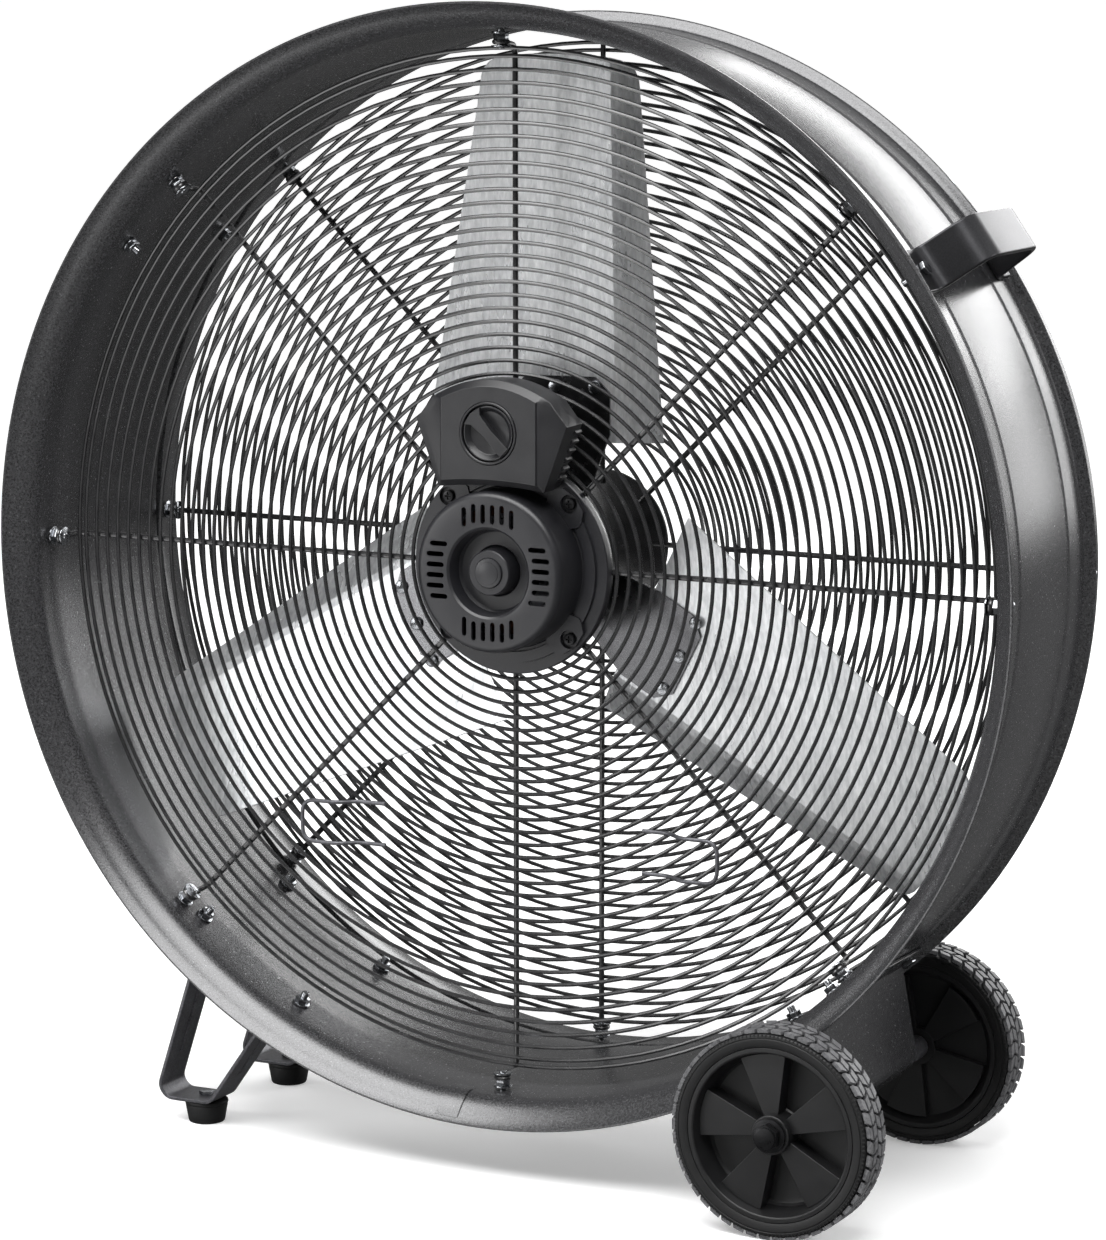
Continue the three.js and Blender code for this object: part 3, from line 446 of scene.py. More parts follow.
# Guards.
guard = dict(
    spokes=8,
    spokeRadius=2.2,
    spokeEnd=399,
    dishRadius=398,  # where a dished spoke runs along the drum's wall
    eyeRadius=5,
    wires=31,
    wireRadius=1.6,
    wirePitch=10,
    firstWire=388,
    rimWire=394,
    steps=132,
)
frontGuard = dict(plane=-52, boltPlane=-75, side=-1, spokeFrom=74, ringInner=62.5, ringOuter=82)
rearGuard = dict(plane=98.5, boltPlane=98.5, side=1, spokeFrom=46, discRadius=57.6)


def guardWires(spec):
    shape = bmesh.new()
    weldSink = 0.5
    wirePlane = spec["plane"] + spec["side"] * (guard["spokeRadius"] + guard["wireRadius"] - weldSink)
    rings = [guard["firstWire"] - i * guard["wirePitch"] for i in range(guard["wires"])]
    for radius in [guard["rimWire"]] + rings:
        place = Matrix.Translation((radius, wirePlane, 0))
        bmesh.ops.create_circle(shape, segments=8, radius=guard["wireRadius"], matrix=place)
    bmesh.ops.spin(
        shape,
        geom=list(shape.verts) + list(shape.edges),
        cent=(0, 0, 0),
        axis=(0, 1, 0),
        angle=2 * math.pi,
        steps=guard["steps"],
        use_merge=True,
    )
    return shape


def spokesAndEyes(shape, spec):
    inner, plane, boltPlane = spec["spokeFrom"], spec["plane"], spec["boltPlane"]
    wall, end = guard["dishRadius"], guard["spokeEnd"]
    line = [(inner, plane, 0), (end, plane, 0)]
    if boltPlane != plane:
        dished = [(inner, plane, 0), (wall - 1.5, plane, 0), (wall, boltPlane + 4, 0), (wall, boltPlane, 0)]
        line = roundedLine(dished, 7)
    for i in range(guard["spokes"]):
        angle = 360 * i / guard["spokes"]
        x, z = polar(1, angle)
        wireRun(shape, [(p[0] * x, p[1], p[0] * z) for p in line], guard["spokeRadius"])
        place = outwards(angle, boltPlane, end)  # the eye that closes round the bolt
        eye = [place @ Vector((*polar(guard["eyeRadius"], 20 * k), 0)) for k in range(19)]
        wireRun(shape, eye, guard["spokeRadius"] * 0.9, capped=False)


def frontGuardWires():
    shape = guardWires(frontGuard)
    spokesAndEyes(shape, frontGuard)
    inner, outer = frontGuard["ringInner"], frontGuard["ringOuter"]
    front, back = frontGuard["plane"] - guard["spokeRadius"], frontGuard["plane"] + guard["spokeRadius"]
    turned(shape, [(outer, front), (outer, back), (inner, back), (inner, front)], 64)
    finishPiece(shape, "front_guard_wires", wireGloss, ("front_guard",))


def rearGuardWires():
    shape = guardWires(rearGuard)
    spokesAndEyes(shape, rearGuard)
    plane = rearGuard["plane"]
    disc(shape, alongY(), rearGuard["discRadius"], plane + 0.1, plane + 2.3, 96, bevel=0.8)
    finishPiece(shape, "rear_guard_wires", wireGloss, ("rear_guard",))


def guardBolts(spec, name):
    shape = bmesh.new()
    for i in range(guard["spokes"]):
        place = outwards(360 * i / guard["spokes"], spec["boltPlane"])
        disc(shape, place, 3, 394, 412, 16, bevel=0.5)  # thread
        disc(shape, place, 5.8, 400.6, 405.2, 6, bevel=0.5)  # nut
        disc(shape, place, 7.2, 405.3, 406.8, 28, bevel=0.3)  # washers inside the wall
        disc(shape, place, 7.6, 395.2, 396.4, 28, bevel=0.3)
        disc(shape, place, 6.4, 411.4, 413.4, 28, bevel=0.4)  # washer outside, and the domed head
        disc(shape, place, 6.0, 413.2, 416.2, 28, top=3.2, bevel=0.8)
    finishPiece(shape, name, zincPlate)


frontGuardWires()
rearGuardWires()
guardBolts(frontGuard, "front_guard_bolts")
guardBolts(rearGuard, "rear_guard_bolts")

# Wire hooks on the front guard that a wound cord hangs over.
hook = dict(
    tip=180,
    jog=142,
    jogHalf=6,
    end=112,
    height=-212.5,
    halfGap=16.5,
    back=-59.1,
    stand=-71.1,
    wire=1.6,
    bend=11,
)


def cordHook(side, node):
    top, low = hook["height"] + hook["halfGap"], hook["height"] - hook["halfGap"]
    near, away = hook["jog"] - hook["jogHalf"], hook["jog"] + hook["jogHalf"]
    arm = [(hook["end"], hook["back"]), (near, hook["back"]), (away, hook["stand"])]
    arm += [(hook["tip"], hook["stand"])]
    line = [(side * x, y, top) for x, y in arm] + [(side * x, y, low) for x, y in reversed(arm)]
    shape = bmesh.new()
    wireRun(shape, roundedLine(line, hook["bend"], 6), hook["wire"], 12)
    finishPiece(shape, node + "_wire", stripPaint, (node,))


cordHook(-1, "cord_hook_left")
cordHook(1, "cord_hook_right")
print("guards made")

# Motor.
motor = dict(
    front=-99,
    floor=-83,  # of the round recess in the front shield
    wall=2.5,
    bell=62,
    bellRound=5.5,
    flange=83,
    flangeFront=-61,
    flangeBack=-54.5,
    screwCircle=73.5,
    screwAngles=(45, 135, 225, 315),
    slots=6,
    slotPitch=8.1,
    slotWidth=3.9,
    slotLength=15,
    slotRadius=45,
    endSlotRadius=42,
    headRadius=4.6,
    headFront=-65.2,
    crossLength=5.6,
    crossWidth=1.1,
    pocketRadius=7.2,
    pocketFloor=-61.6,
)


def frontShield():
    front, floor, flat, back = motor["front"], motor["floor"], motor["flangeFront"], motor["flangeBack"]
    wall, bell, bend, flange = motor["wall"], motor["bell"], motor["bellRound"], motor["flange"]
    profile = [(16.5, front + 2), (17.3, front + 3), (18.6, floor + 2), (20, floor), (30, floor)]
    profile += [(32, floor - 2), (33, front + 4), (33.7, front + 1.6), (35.4, front + 0.3), (37.4, front)]
    profile += [(bell - bend, front)]
    for a in (0.4, 0.8, 1.2, math.pi / 2):
        profile.append((bell - bend * (1 - math.sin(a)), front + bend * (1 - math.cos(a))))
    profile += [(bell, flat - 1), (63, flat - 0.2), (65, flat - 0.2), (65.4, flat - 3), (73.6, flat - 3)]
    profile += [(74, flat), (flange - 0.8, flat), (flange, flat + 0.8), (flange, back)]
    profile += [(bell - wall, back), (bell - wall, front + 5), (bell - 5, front + wall), (35.5, front + wall)]
    profile += [(35.5, floor + wall), (13.3, floor + wall), (13.3, front + 6), (11.8, front + 6)]
    shape = bmesh.new()
    turned(shape, profile + [(11.8, front + 2)], 144)
    return shape


def frontShieldPads(shape):
    flat = motor["flangeFront"]
    for angle in motor["screwAngles"]:
        low, high = angle - 15, angle + 15
        outline = [polar(61.5, low + 2), polar(70, low), polar(74, low + 2), polar(79, low + 6)]
        outline += [polar(81, angle), polar(79, high - 6), polar(74, high - 2), polar(70, high)]
        planSolid(shape, outline + [polar(61.5, high - 2)], flat - 4.2, flat + 1)


def ventSlots(cutters):
    last = motor["slots"] - 1
    roundEnd = motor["slotWidth"] / 2
    half = motor["slotLength"] / 2 - roundEnd
    for i in range(motor["slots"]):
        across = (i - last / 2) * motor["slotPitch"]
        middle = motor["endSlotRadius"] if i in (0, last) else motor["slotRadius"]
        outline = []
        for first, height in ((180, middle - half), (0, middle + half)):
            for angle in range(first, first + 181, 45):
                x, z = polar(roundEnd, angle)
                outline.append((across + x, height + z))
        for quarter in range(4):
            made = planSolid(cutters, outline, -104, -90)
            turn = Matrix.Rotation(quarter * math.pi / 2, 4, "Y")
            bmesh.ops.transform(cutters, matrix=turn, verts=made)


def castShield():
    shield = frontShield()
    frontShieldPads(shield)
    cutters = bmesh.new()
    ventSlots(cutters)
    for angle in motor["screwAngles"]:
        pocket = alongY(*polar(motor["screwCircle"], angle))
        disc(cutters, pocket, motor["pocketRadius"], -72, motor["pocketFloor"], 32)
    solid = cutAway(shield, cutters)
    finishPiece(solid, "motor_shield_cast", castCharcoal, ("motor_front_shield",), bevel=0.5)


def crossScrew(number, angle):
    x, z = polar(motor["screwCircle"], angle)
    front, run, width = motor["headFront"], motor["crossLength"], motor["crossWidth"]
    shape = bmesh.new()
    disc(shape, alongY(x, z), motor["headRadius"], front, motor["pocketFloor"] + 0.2, 32, bevel=0.9)
    cross = bmesh.new()
    for across, up in ((run, width), (width, run)):
        size = Matrix.Diagonal((across, 4, up, 1))
        bmesh.ops.create_cube(cross, size=1, matrix=Matrix.Translation((x, front, z)) @ size)
    node = f"flange_screw_{number}"
    finishPiece(cutAway(shape, cross), node + "_head", blackOxide, (node,))


def bearingCap():
    shape = bmesh.new()
    disc(shape, alongY(), 11.4, -98.6, -93.3, 64, bevel=1.0)
    disc(shape, alongY(), 8.6, -99, -98, 64, bevel=0.4)
    finishPiece(shape, "bearing_cap_turned", castCharcoal, ("bearing_cap",))


shell = dict(radius=60, rearRadius=61, wall=2.5, front=-54.2, seam=-28.5, back=-10.2, shoulder=8, bore=8)


def motorShell():
    radius, front, seam, back = shell["radius"], shell["front"], shell["seam"], shell["back"]
    inner = radius - shell["wall"]
    housing = bmesh.new()
    profile = [(radius, front), (radius, seam - 0.5), (radius - 0.6, seam), (inner, seam), (inner, front)]
    turned(housing, profile, 128)
    finishPiece(housing, "motor_housing_drawn", housingBlack, ("motor_housing",))
    outer, bend, bore = shell["rearRadius"], shell["shoulder"], shell["bore"]
    profile = [(outer - 0.6, seam + 0.3), (outer, seam + 0.9)]
    for a in (0, 0.35, 0.7, 1.05, math.pi / 2):
        profile.append((outer - bend * (1 - math.cos(a)), back - bend * (1 - math.sin(a))))
    profile += [(34, back), (32, back - 1.8), (24, back - 1.8), (22, back), (bore, back)]
    profile += [(bore, back - shell["wall"]), (50, back - shell["wall"]), (inner, -20), (inner, seam + 0.3)]
    rear = bmesh.new()
    turned(rear, profile, 128)
    finishPiece(rear, "motor_rear_shield_drawn", housingBlack, ("motor_rear_shield",))


castShield()
for number, angle in enumerate(motor["screwAngles"], 1):
    crossScrew(number, angle)
bearingCap()
motorShell()
print("motor made")

# Selector box and knob.
box = dict(
    front=-97.8,
    seam=-75.8,
    chamfer=5,
    bottom=63.5,
    bottomHalf=45,
    bottomCrown=12,
    waist=114,
    waistHalf=64,
    top=132,
    topHalf=50,
    topCrown=60,
    panelHalf=41,  # past it the cover's wings slope back
    wingStep=1.2,
    wingSlope=0.24,
    knobHeight=106.5,
    knobTurn=-45,  # as in the photograph
    dishRadius=23,
    dishFloor=-90.4,
    bezelRadius=24.2,
    bezelSeat=-97,
)


def boxOutline(inset, steps=14):
    bottomHalf, waistHalf, topHalf = (box[name] - inset for name in ("bottomHalf", "waistHalf", "topHalf"))
    bottom, top = box["bottom"] + inset, box["top"] - inset * 0.7
    spread = [k / steps for k in range(steps + 1)]
    lower = [(bottomHalf * (2 * t - 1), bottom + box["bottomCrown"] * t * (1 - t)) for t in spread]
    upper = [(topHalf * (1 - 2 * t), top + box["topCrown"] * t * (1 - t)) for t in spread]
    return lower + [(waistHalf, box["waist"])] + upper + [(-waistHalf, box["waist"])]


def boxCover():
    shape = bmesh.new()
    planSolid(shape, boxOutline(0), box["front"] + box["chamfer"], box["seam"])
    cap = min(shape.faces, key=lambda face: face.calc_center_median().y)
    bmesh.ops.inset_region(shape, faces=[cap], thickness=box["chamfer"], use_even_offset=True)
    for vert in cap.verts:
        vert.co.y = box["front"]
    half = box["panelHalf"]
    for x in (-half, 1 - half, half - 1, half):
        geometry = list(shape.verts) + list(shape.edges) + list(shape.faces)
        bmesh.ops.bisect_plane(shape, geom=geometry, plane_co=(x, 0, 0), plane_no=(1, 0, 0), dist=1e-4)
    for vert in shape.verts:
        beyond = abs(vert.co.x) - half
        if vert.co.y < box["front"] + 1 and beyond > -0.01:
            vert.co.y += box["wingStep"] + beyond * box["wingSlope"]
    return shape


def selectorCover():
    dish, place = bmesh.new(), alongY(0, box["knobHeight"])
    disc(dish, place, box["dishRadius"], -104, box["dishFloor"], 96)
    disc(dish, place, box["bezelRadius"], -104, box["bezelSeat"], 96)
    solid = cutAway(boxCover(), dish)
    finishPiece(solid, "control_box_moulding", mouldedAbs, ("control_box_cover",), bevel=0.7)


def knobBezel():
    profile = [(23.9, -96.9), (23.9, -98.2), (23.4, -98.7), (22.5, -98.7), (22, -98.2), (22, -91)]
    shape = bmesh.new()
    turned(shape, profile + [(22.6, -91), (22.6, -96.9)], 96, box["knobHeight"])
    finishPiece(shape, "control_box_bezel", mouldedAbs)


def boxBase():
    shape = bmesh.new()
    planSolid(shape, boxOutline(1), -75.5, -64.3)
    start, end, ribs = Vector((46.5, 68)), Vector((62, 110)), 6
    for k in range(ribs):
        x, z = start.lerp(end, (k + 0.5) / ribs)
        outline = [(x - 3, z - 3), (x + 2.6, z + 1.2), (x + 1.2, z + 3.4), (x - 3, z + 2)]
        planSolid(shape, outline, -75.4, -64.4)
    finishPiece(shape, "control_box_base_moulding", mouldedAbs, ("control_box_base",), bevel=0.6)


def speedKnob():
    bowl = [(21, -91.3), (21, -97.2), (20.6, -97.8), (19.8, -97.8), (19.2, -97.2), (16.5, -94.2), (11, -92.7)]
    grip = [(-4.6, -20.2), (4.6, -20.2), (3.9, 0), (5.4, 14), (9.5, 18.4), (0, 20.6)]
    grip += [(-9.5, 18.4), (-5.4, 14), (-3.9, 0)]
    shape = bmesh.new()
    turned(shape, bowl + [(0.02, -92.2), (0.02, -91.3)], 96)  # the grip covers the pinhole at the axis
    planSolid(shape, grip, -99.6, -91.6)
    turn = Matrix.Rotation(math.radians(box["knobTurn"]), 3, "Y")
    bmesh.ops.rotate(shape, verts=shape.verts, cent=(0, 0, 0), matrix=turn)
    bmesh.ops.translate(shape, verts=shape.verts, vec=(0, 0, box["knobHeight"]))
    finishPiece(shape, "speed_knob_moulding", mouldedAbs, ("speed_knob",), "knob", bevel=1.0)


selectorCover()
knobBezel()
boxBase()
speedKnob()
print("selector made")

# Paddle rotor: a blade is drawn pointing up, and the fold runs from root to tip.
rotor = dict(
    tip=388,
    root=90,
    leadTip=56,
    leadRoot=98,
    trailTip=67,
    trailRoot=86,
    corner=20,
    foldTip=50,
    foldRoot=55,
    plane=8.5,
    pitch=0.15,
    foldPitchTip=0.6,
    foldPitchRoot=0.45,
    sheet=2,
    rivetHeight=133,
    rivets=(-27, 5, 37),
    curl=5,  # how far the leading edge is rolled forward
    curlFrom=0.35,
    curlWidth=120,
)


def tipEdge(x):
    return math.sqrt(rotor["tip"] ** 2 - x**2)


def tipCorner(x, inner):
    start, corner = Vector((x, tipEdge(x) - rotor["corner"])), Vector((x, tipEdge(x)))
    end = Vector((inner, tipEdge(inner)))
    return [curvePoint(start, corner, end, k / 5) for k in range(6)]


def bladeOutline():
    trail, lead = rotor["trailTip"], -rotor["leadTip"]
    tipFrom, tipTo = trail - rotor["corner"], lead + rotor["corner"]
    tipLine = [(x, tipEdge(x)) for x in (tipFrom + (tipTo - tipFrom) * k / 10 for k in range(1, 10))]
    outline = [(-rotor["leadRoot"], rotor["root"]), (rotor["trailRoot"], rotor["root"])]
    return outline + tipCorner(trail, tipFrom) + tipLine + tipCorner(lead, tipTo)[::-1]


def foldedBlade():
    root, span = rotor["root"], rotor["tip"] - rotor["root"]
    shape = bmesh.new()
    planSheet(shape, bladeOutline())
    lean = Vector((rotor["foldTip"] - rotor["foldRoot"], 0, span)).normalized()
    across = Vector((lean.z, 0, -lean.x))
    for step in (-180, -150, -120, -90, -60, -40, -20, -3, 3, 20):  # lines along the fold, for the bends
        at = Vector((rotor["foldRoot"] + step, 0, root))
        geometry = list(shape.verts) + list(shape.edges) + list(shape.faces)
        bmesh.ops.bisect_plane(shape, geom=geometry, plane_co=at, plane_no=across, dist=1e-4)
    for vert in shape.verts:
        share = (vert.co.z - root) / span
        fold = rotor["foldRoot"] + (rotor["foldTip"] - rotor["foldRoot"]) * share
        steep = rotor["foldPitchRoot"] + (rotor["foldPitchTip"] - rotor["foldPitchRoot"]) * share
        beyond = vert.co.x - fold
        curl = max(0.0, -beyond / rotor["curlWidth"] - rotor["curlFrom"])
        flat = rotor["plane"] + rotor["pitch"] * min(vert.co.x, fold)
        vert.co.y = flat + steep * max(0.0, beyond) - rotor["curl"] * curl**2
    bmesh.ops.recalc_face_normals(shape, faces=shape.faces)
    bmesh.ops.solidify(shape, geom=list(shape.faces), thickness=rotor["sheet"])
    return shape


def placeBlade(number):
    turn = Matrix.Rotation((number - 1) * 2 * math.pi / 3, 4, "Y")
    node = f"blade_{number}"
    sheet = foldedBlade()
    sheet.transform(turn)
    finishPiece(sheet, node + "_sheet", bladeSheet, (node,), "rotor", bevel=0.4, sharp=8)
    rivets = bmesh.new()
    for x in rotor["rivets"]:
        y = rotor["plane"] + rotor["pitch"] * x
        place = alongY(x, rotor["rivetHeight"])
        disc(rivets, place, 5.4, y - 6.8, y - 4.4, 24, bevel=1.6)
        disc(rivets, place, 5.4, y + 1, y + 3.2, 24, bevel=1.4)
    rivets.transform(turn)
    finishPiece(rivets, node + "_rivets", zincPlate, (), "rotor")


for number in (1, 2, 3):
    placeBlade(number)
softened("hub_spider", spiderPlate, 0.8)
softened("hub_nut", zincPlate, 0.7)
print("rotor made")

# Grab handles, and the bent strip under the drum: two legs and the wheel bracket. Angles are degrees,
# the handles' from the right and the strip's below the level of the axis.
handle = dict(
    angle=35.3,
    sheet=5,
    width=36,
    seat=413.8,
    height=44,
    gripHalf=47,
    foot=57,
    end=81,
    bend=15,
    boltPlane=70,
)
strip = dict(
    sheet=3,
    width=36,
    plane=66,
    seat=412.8,
    padEnds=(46.4, 49.6, 61.2, 65),
    padMiddles=(48, 63),
    bolts=(47.7, 62.9),
    bend=6,
)
# The strip's corners below the drum, and the pressed grooves of the legs, as (x, z).
legSole = [(-309, -442), (-302, -451), (-262, -451)]
legGrooves = (((-300.5, -416), (-281, -356)), ((-246, -428), (-219, -390)))
bracketSole = [(281, -389), (253, -414)]
bracketHalf = 83
foot = dict(x=-275, floor=-axisHeight)


def strapFastener(node, sheet, angle, y):
    shape = bmesh.new()
    place = outwards(angle, y)
    head = drum["radius"] + sheet + 0.6
    disc(shape, place, 5.8, head, head + 4, 6, bevel=0.7)
    disc(shape, place, 3, 397.5, head + 1, 20, bevel=0.5)  # thread, with its chamfered end below
    disc(shape, place, 5.8, 402.4, 407.4, 6, bevel=0.6)  # nut and washer
    disc(shape, place, 7, 406.8, 408.4, 32, bevel=0.4)
    disc(shape, place, 3.3, 398.4, 399.0, 20, bevel=0.2)
    finishPiece(shape, node + "_plated", zincPlate, (node,))


def grabHandle(side, angle):
    seat, top, half = handle["seat"], handle["seat"] + handle["height"], handle["width"] / 2
    run = [(handle["end"], seat), (handle["foot"], seat), (handle["gripHalf"], top)]
    line = roundedLine(run + [(-y, r) for y, r in reversed(run)], handle["bend"], 7)
    shape = bmesh.new()
    bentStrap(shape, line, handle["sheet"], -half, half)
    toRadius = Matrix(((0, 1, 0, 0), (1, 0, 0, 0), (0, 0, 1, 0), (0, 0, 0, 1)))
    shape.transform(Matrix.Rotation(math.radians(angle - 90), 4, (0, -1, 0)) @ toRadius)
    finishPiece(shape, f"handle_{side}_strap", strapSatin, (f"handle_{side}",), bevel=1.6, segments=3)


def onDrum(side, below):
    return polar(strip["seat"], 360 - below if side > 0 else 180 + below)


def stripLine(side, sole):
    first, second, third, fourth = (onDrum(side, below) for below in strip["padEnds"])
    near, far = (onDrum(side, below) for below in strip["padMiddles"])
    return [first, near] + roundedLine([second, *sole, third], strip["bend"], 6) + [far, fourth]


def leg(end, y):
    half = strip["width"] / 2
    shape = bmesh.new()
    bentStrap(shape, stripLine(-1, legSole), strip["sheet"], y - half, y + half)
    cutters = bmesh.new()
    for low, high in legGrooves:
        start, stop = Vector((low[0], y, low[1])), Vector((high[0], y, high[1]))
        run = stop - start
        turn = Vector((0, 0, 1)).rotation_difference(run).to_matrix().to_4x4()
        size = Matrix.Diagonal((3, 4.4, run.length, 1))
        middle = (start + stop) / 2 + turn @ Vector((1.5, 0, 0))
        bmesh.ops.create_cube(cutters, size=1, matrix=Matrix.Translation(middle) @ turn @ size)
    place = Matrix.Translation((foot["x"], y, foot["floor"]))
    disc(cutters, place, 3.3, 1, 41, 24)
    finishPiece(cutAway(shape, cutters), f"leg_{end}_strip", stripPaint, (f"leg_{end}",), bevel=0.8)
    rubber = bmesh.new()
    disc(rubber, place, 14.5, 0.05, 15.4, 48, top=17.3, bevel=1.4)
    disc(rubber, place, 17.5, 15.2, 18.2, 48, bevel=0.9)
    finishPiece(rubber, f"foot_{end}_rubber", footRubber, (f"foot_{end}",))
    screw = bmesh.new()
    disc(screw, place, 6, 21.8, 24.8, 6, bevel=0.6)
    disc(screw, place, 3, 9, 22.8, 20)
    finishPiece(screw, f"foot_screw_{end}_plated", zincPlate, (f"foot_screw_{end}",))


def wheelBracket():
    shape = bmesh.new()
    bentStrap(shape, stripLine(1, bracketSole), strip["sheet"], -bracketHalf, bracketHalf)
    web = [onDrum(1, 60), *bracketSole[::-1], onDrum(1, 50), onDrum(1, 55.5)]
    planSolid(shape, web, -bracketHalf, strip["sheet"] - bracketHalf)
    planSolid(shape, web, bracketHalf - strip["sheet"], bracketHalf)
    finishPiece(shape, "wheel_bracket_pressed", powderCoat, ("wheel_bracket",), bevel=1.0)


for side, angle in (("right", handle["angle"]), ("left", 180 - handle["angle"])):
    for end, y in (("front", -handle["boltPlane"]), ("rear", handle["boltPlane"])):
        strapFastener(f"handle_bolt_{side}_{end}", handle["sheet"], angle, y)
for end, y in (("front", -strip["plane"]), ("rear", strip["plane"])):
    for number, below in enumerate(strip["bolts"], 1):
        strapFastener(f"leg_bolt_{end}_{number}", strip["sheet"], 180 + below, y)
        strapFastener(f"bracket_bolt_{end}_{number}", strip["sheet"], 360 - below, y)
grabHandle("right", handle["angle"])
grabHandle("left", 180 - handle["angle"])
leg("front", -strip["plane"])
leg("rear", strip["plane"])
wheelBracket()
print("legs, bracket and handles made")

# Wheels, drawn round their own centre with the outer face to +y.
wheel = dict(x=263.6, z=-391, middle=143, spokes=5, firstSpoke=81)
tread = dict(
    rows=46,
    columns=4,
    pitch=7.7,
    gap=2.1,
    blockLength=8.4,
    blockHeight=3,
    blockMiddle=78.3,
    slant=0.55,
    ribs=150,
    ribSize=(1.2, 33.5, 2.6),
    ribMiddle=75,
)
rimArc = (-17.5, -12, -6, 0, 6, 12, 17.5)  # a spoke's outer end, in degrees from its middle


def wheelPlace(side):
    flip = Matrix.Identity(4) if side > 0 else Matrix.Rotation(math.pi, 4, "Z")
    return Matrix.Translation((wheel["x"], side * wheel["middle"], wheel["z"])) @ flip


def wheelHub(end, side):
    outer = [(66, 16), (62.8, 16), (61.8, 15.4), (60.6, 11), (59.4, 4), (58, -3), (56, -5.4), (52, -6)]
    outer += [(16.5, -6), (15, -4.5), (15, 14.4), (14.4, 15), (6.3, 15)]
    inner = [(6.3, -15), (15, -15), (15, -9.6), (57, -9.2), (61, -14.6), (62.6, -16), (66, -16)]
    shape = bmesh.new()
    turned(shape, outer + inner, 112)
    for i in range(wheel["spokes"]):
        angle = wheel["firstSpoke"] + i * 360 / wheel["spokes"]
        outside = [polar(60, angle + t) for t in rimArc]
        planSolid(shape, [polar(13, angle - 24)] + outside + [polar(13, angle + 24)], -8, 8.4)
        inside = [polar(57, angle + 36 + t) for t in rimArc]
        planSolid(shape, [polar(14, angle + 12)] + inside + [polar(14, angle + 60)], -14.6, -9)
    shape.transform(wheelPlace(side))
    node = f"wheel_hub_{end}"
    finishPiece(shape, node + "_moulding", wheelMoulding, (node,), f"wheel_{end}", bevel=0.6)


def tyre(end, side):
    flank = [(66.3, 15.9), (68.4, 16.9), (72.6, 16.9), (72.9, 16.3), (73.4, 16.3), (73.7, 16.8), (75.4, 16.4)]
    flank += [(76, 15.8), (76.2, 15)]
    shape = bmesh.new()
    turned(shape, flank + [(r, -y) for r, y in reversed(flank)], 160)
    size = Matrix.Diagonal((tread["blockLength"], tread["pitch"] - tread["gap"], tread["blockHeight"], 1))
    for column in range(tread["columns"]):
        across = (column - (tread["columns"] - 1) / 2) * tread["pitch"]
        slant = tread["slant"] if column % 2 else -tread["slant"]
        shear = Matrix(((1, slant, 0, 0), (0, 1, 0, 0), (0, 0, 1, 0), (0, 0, 0, 1)))
        block = Matrix.Translation((0, across, tread["blockMiddle"])) @ shear @ size
        for k in range(tread["rows"]):
            turn = Matrix.Rotation(2 * math.pi * (k + (column // 2) * 0.5) / tread["rows"], 4, "Y")
            made = bmesh.ops.create_cube(shape, size=1, matrix=turn @ block)
            for face in {face for vert in made["verts"] for face in vert.link_faces}:
                # the blocks take the tread finish, painted lighter grey as a highlight
                face.material_index = 1
    rib = Matrix.Translation((0, 0, tread["ribMiddle"])) @ Matrix.Diagonal((*tread["ribSize"], 1))
    for k in range(tread["ribs"]):
        turn = Matrix.Rotation(2 * math.pi * k / tread["ribs"], 4, "Y")
        bmesh.ops.create_cube(shape, size=1, matrix=turn @ rib)
    shape.transform(wheelPlace(side))
    node, finishes = f"tyre_{end}", (tyreRubber, treadPaintedHighlight)
    finishPiece(shape, node + "_rubber", finishes, (node,), f"wheel_{end}", bevel=0.25, segments=1)


def capNut(end, side):
    shape = bmesh.new()
    disc(shape, alongY(), 13, 15.3, 17.6, 64, bevel=0.6)
    disc(shape, alongY(), 10.4, 17.2, 23.4, 6, bevel=0.9)
    disc(shape, alongY(), 8.4, 23.2, 25.2, 40, bevel=0.9)
    shape.transform(wheelPlace(side))
    finishPiece(shape, f"axle_nut_{end}_cap", blackOxide, (f"axle_nut_{end}",))


for end, side in (("front", -1), ("rear", 1)):
    wheelHub(end, side)
    tyre(end, side)
    capNut(end, side)
print("wheels made")

# What still shows as its CAD node gets its finish by its slot.
finishOf = dict(
    drum_coat=powderCoat,
    guard_coat=wireGloss,
    handle_coat=strapSatin,
    motor_casting=castCharcoal,
    moulding=mouldedAbs,
    leg_steel=stripPaint,
    blade_sheet=bladeSheet,
    zinc=zincPlate,
    black_fastener=blackOxide,
    rubber=footRubber,
    tyre=tyreRubber,
    lamination=laminations,
    copper_winding=copperPaintedShade,
)
for node, thing in frame["nodes"].items():
    if not thing.hide_render:
        thing.data.materials.clear()
        thing.data.materials.append(finishOf[slotOf[node]])
print("inner parts coloured")


# Stage, light and camera, in metres.
def softLamp(name, place, aim, size, power):
    lamp = bpy.data.lights.new(name, "AREA")
    lamp.shape = "RECTANGLE"
    lamp.size, lamp.size_y = size
    lamp.energy = power
    holder = bpy.data.objects.new(name, lamp)
    holder.location = place
    holder.rotation_euler = (Vector(aim) - Vector(place)).to_track_quat("-Z", "Y").to_euler()
    holder.visible_camera = False
    bpy.context.scene.collection.objects.link(holder)


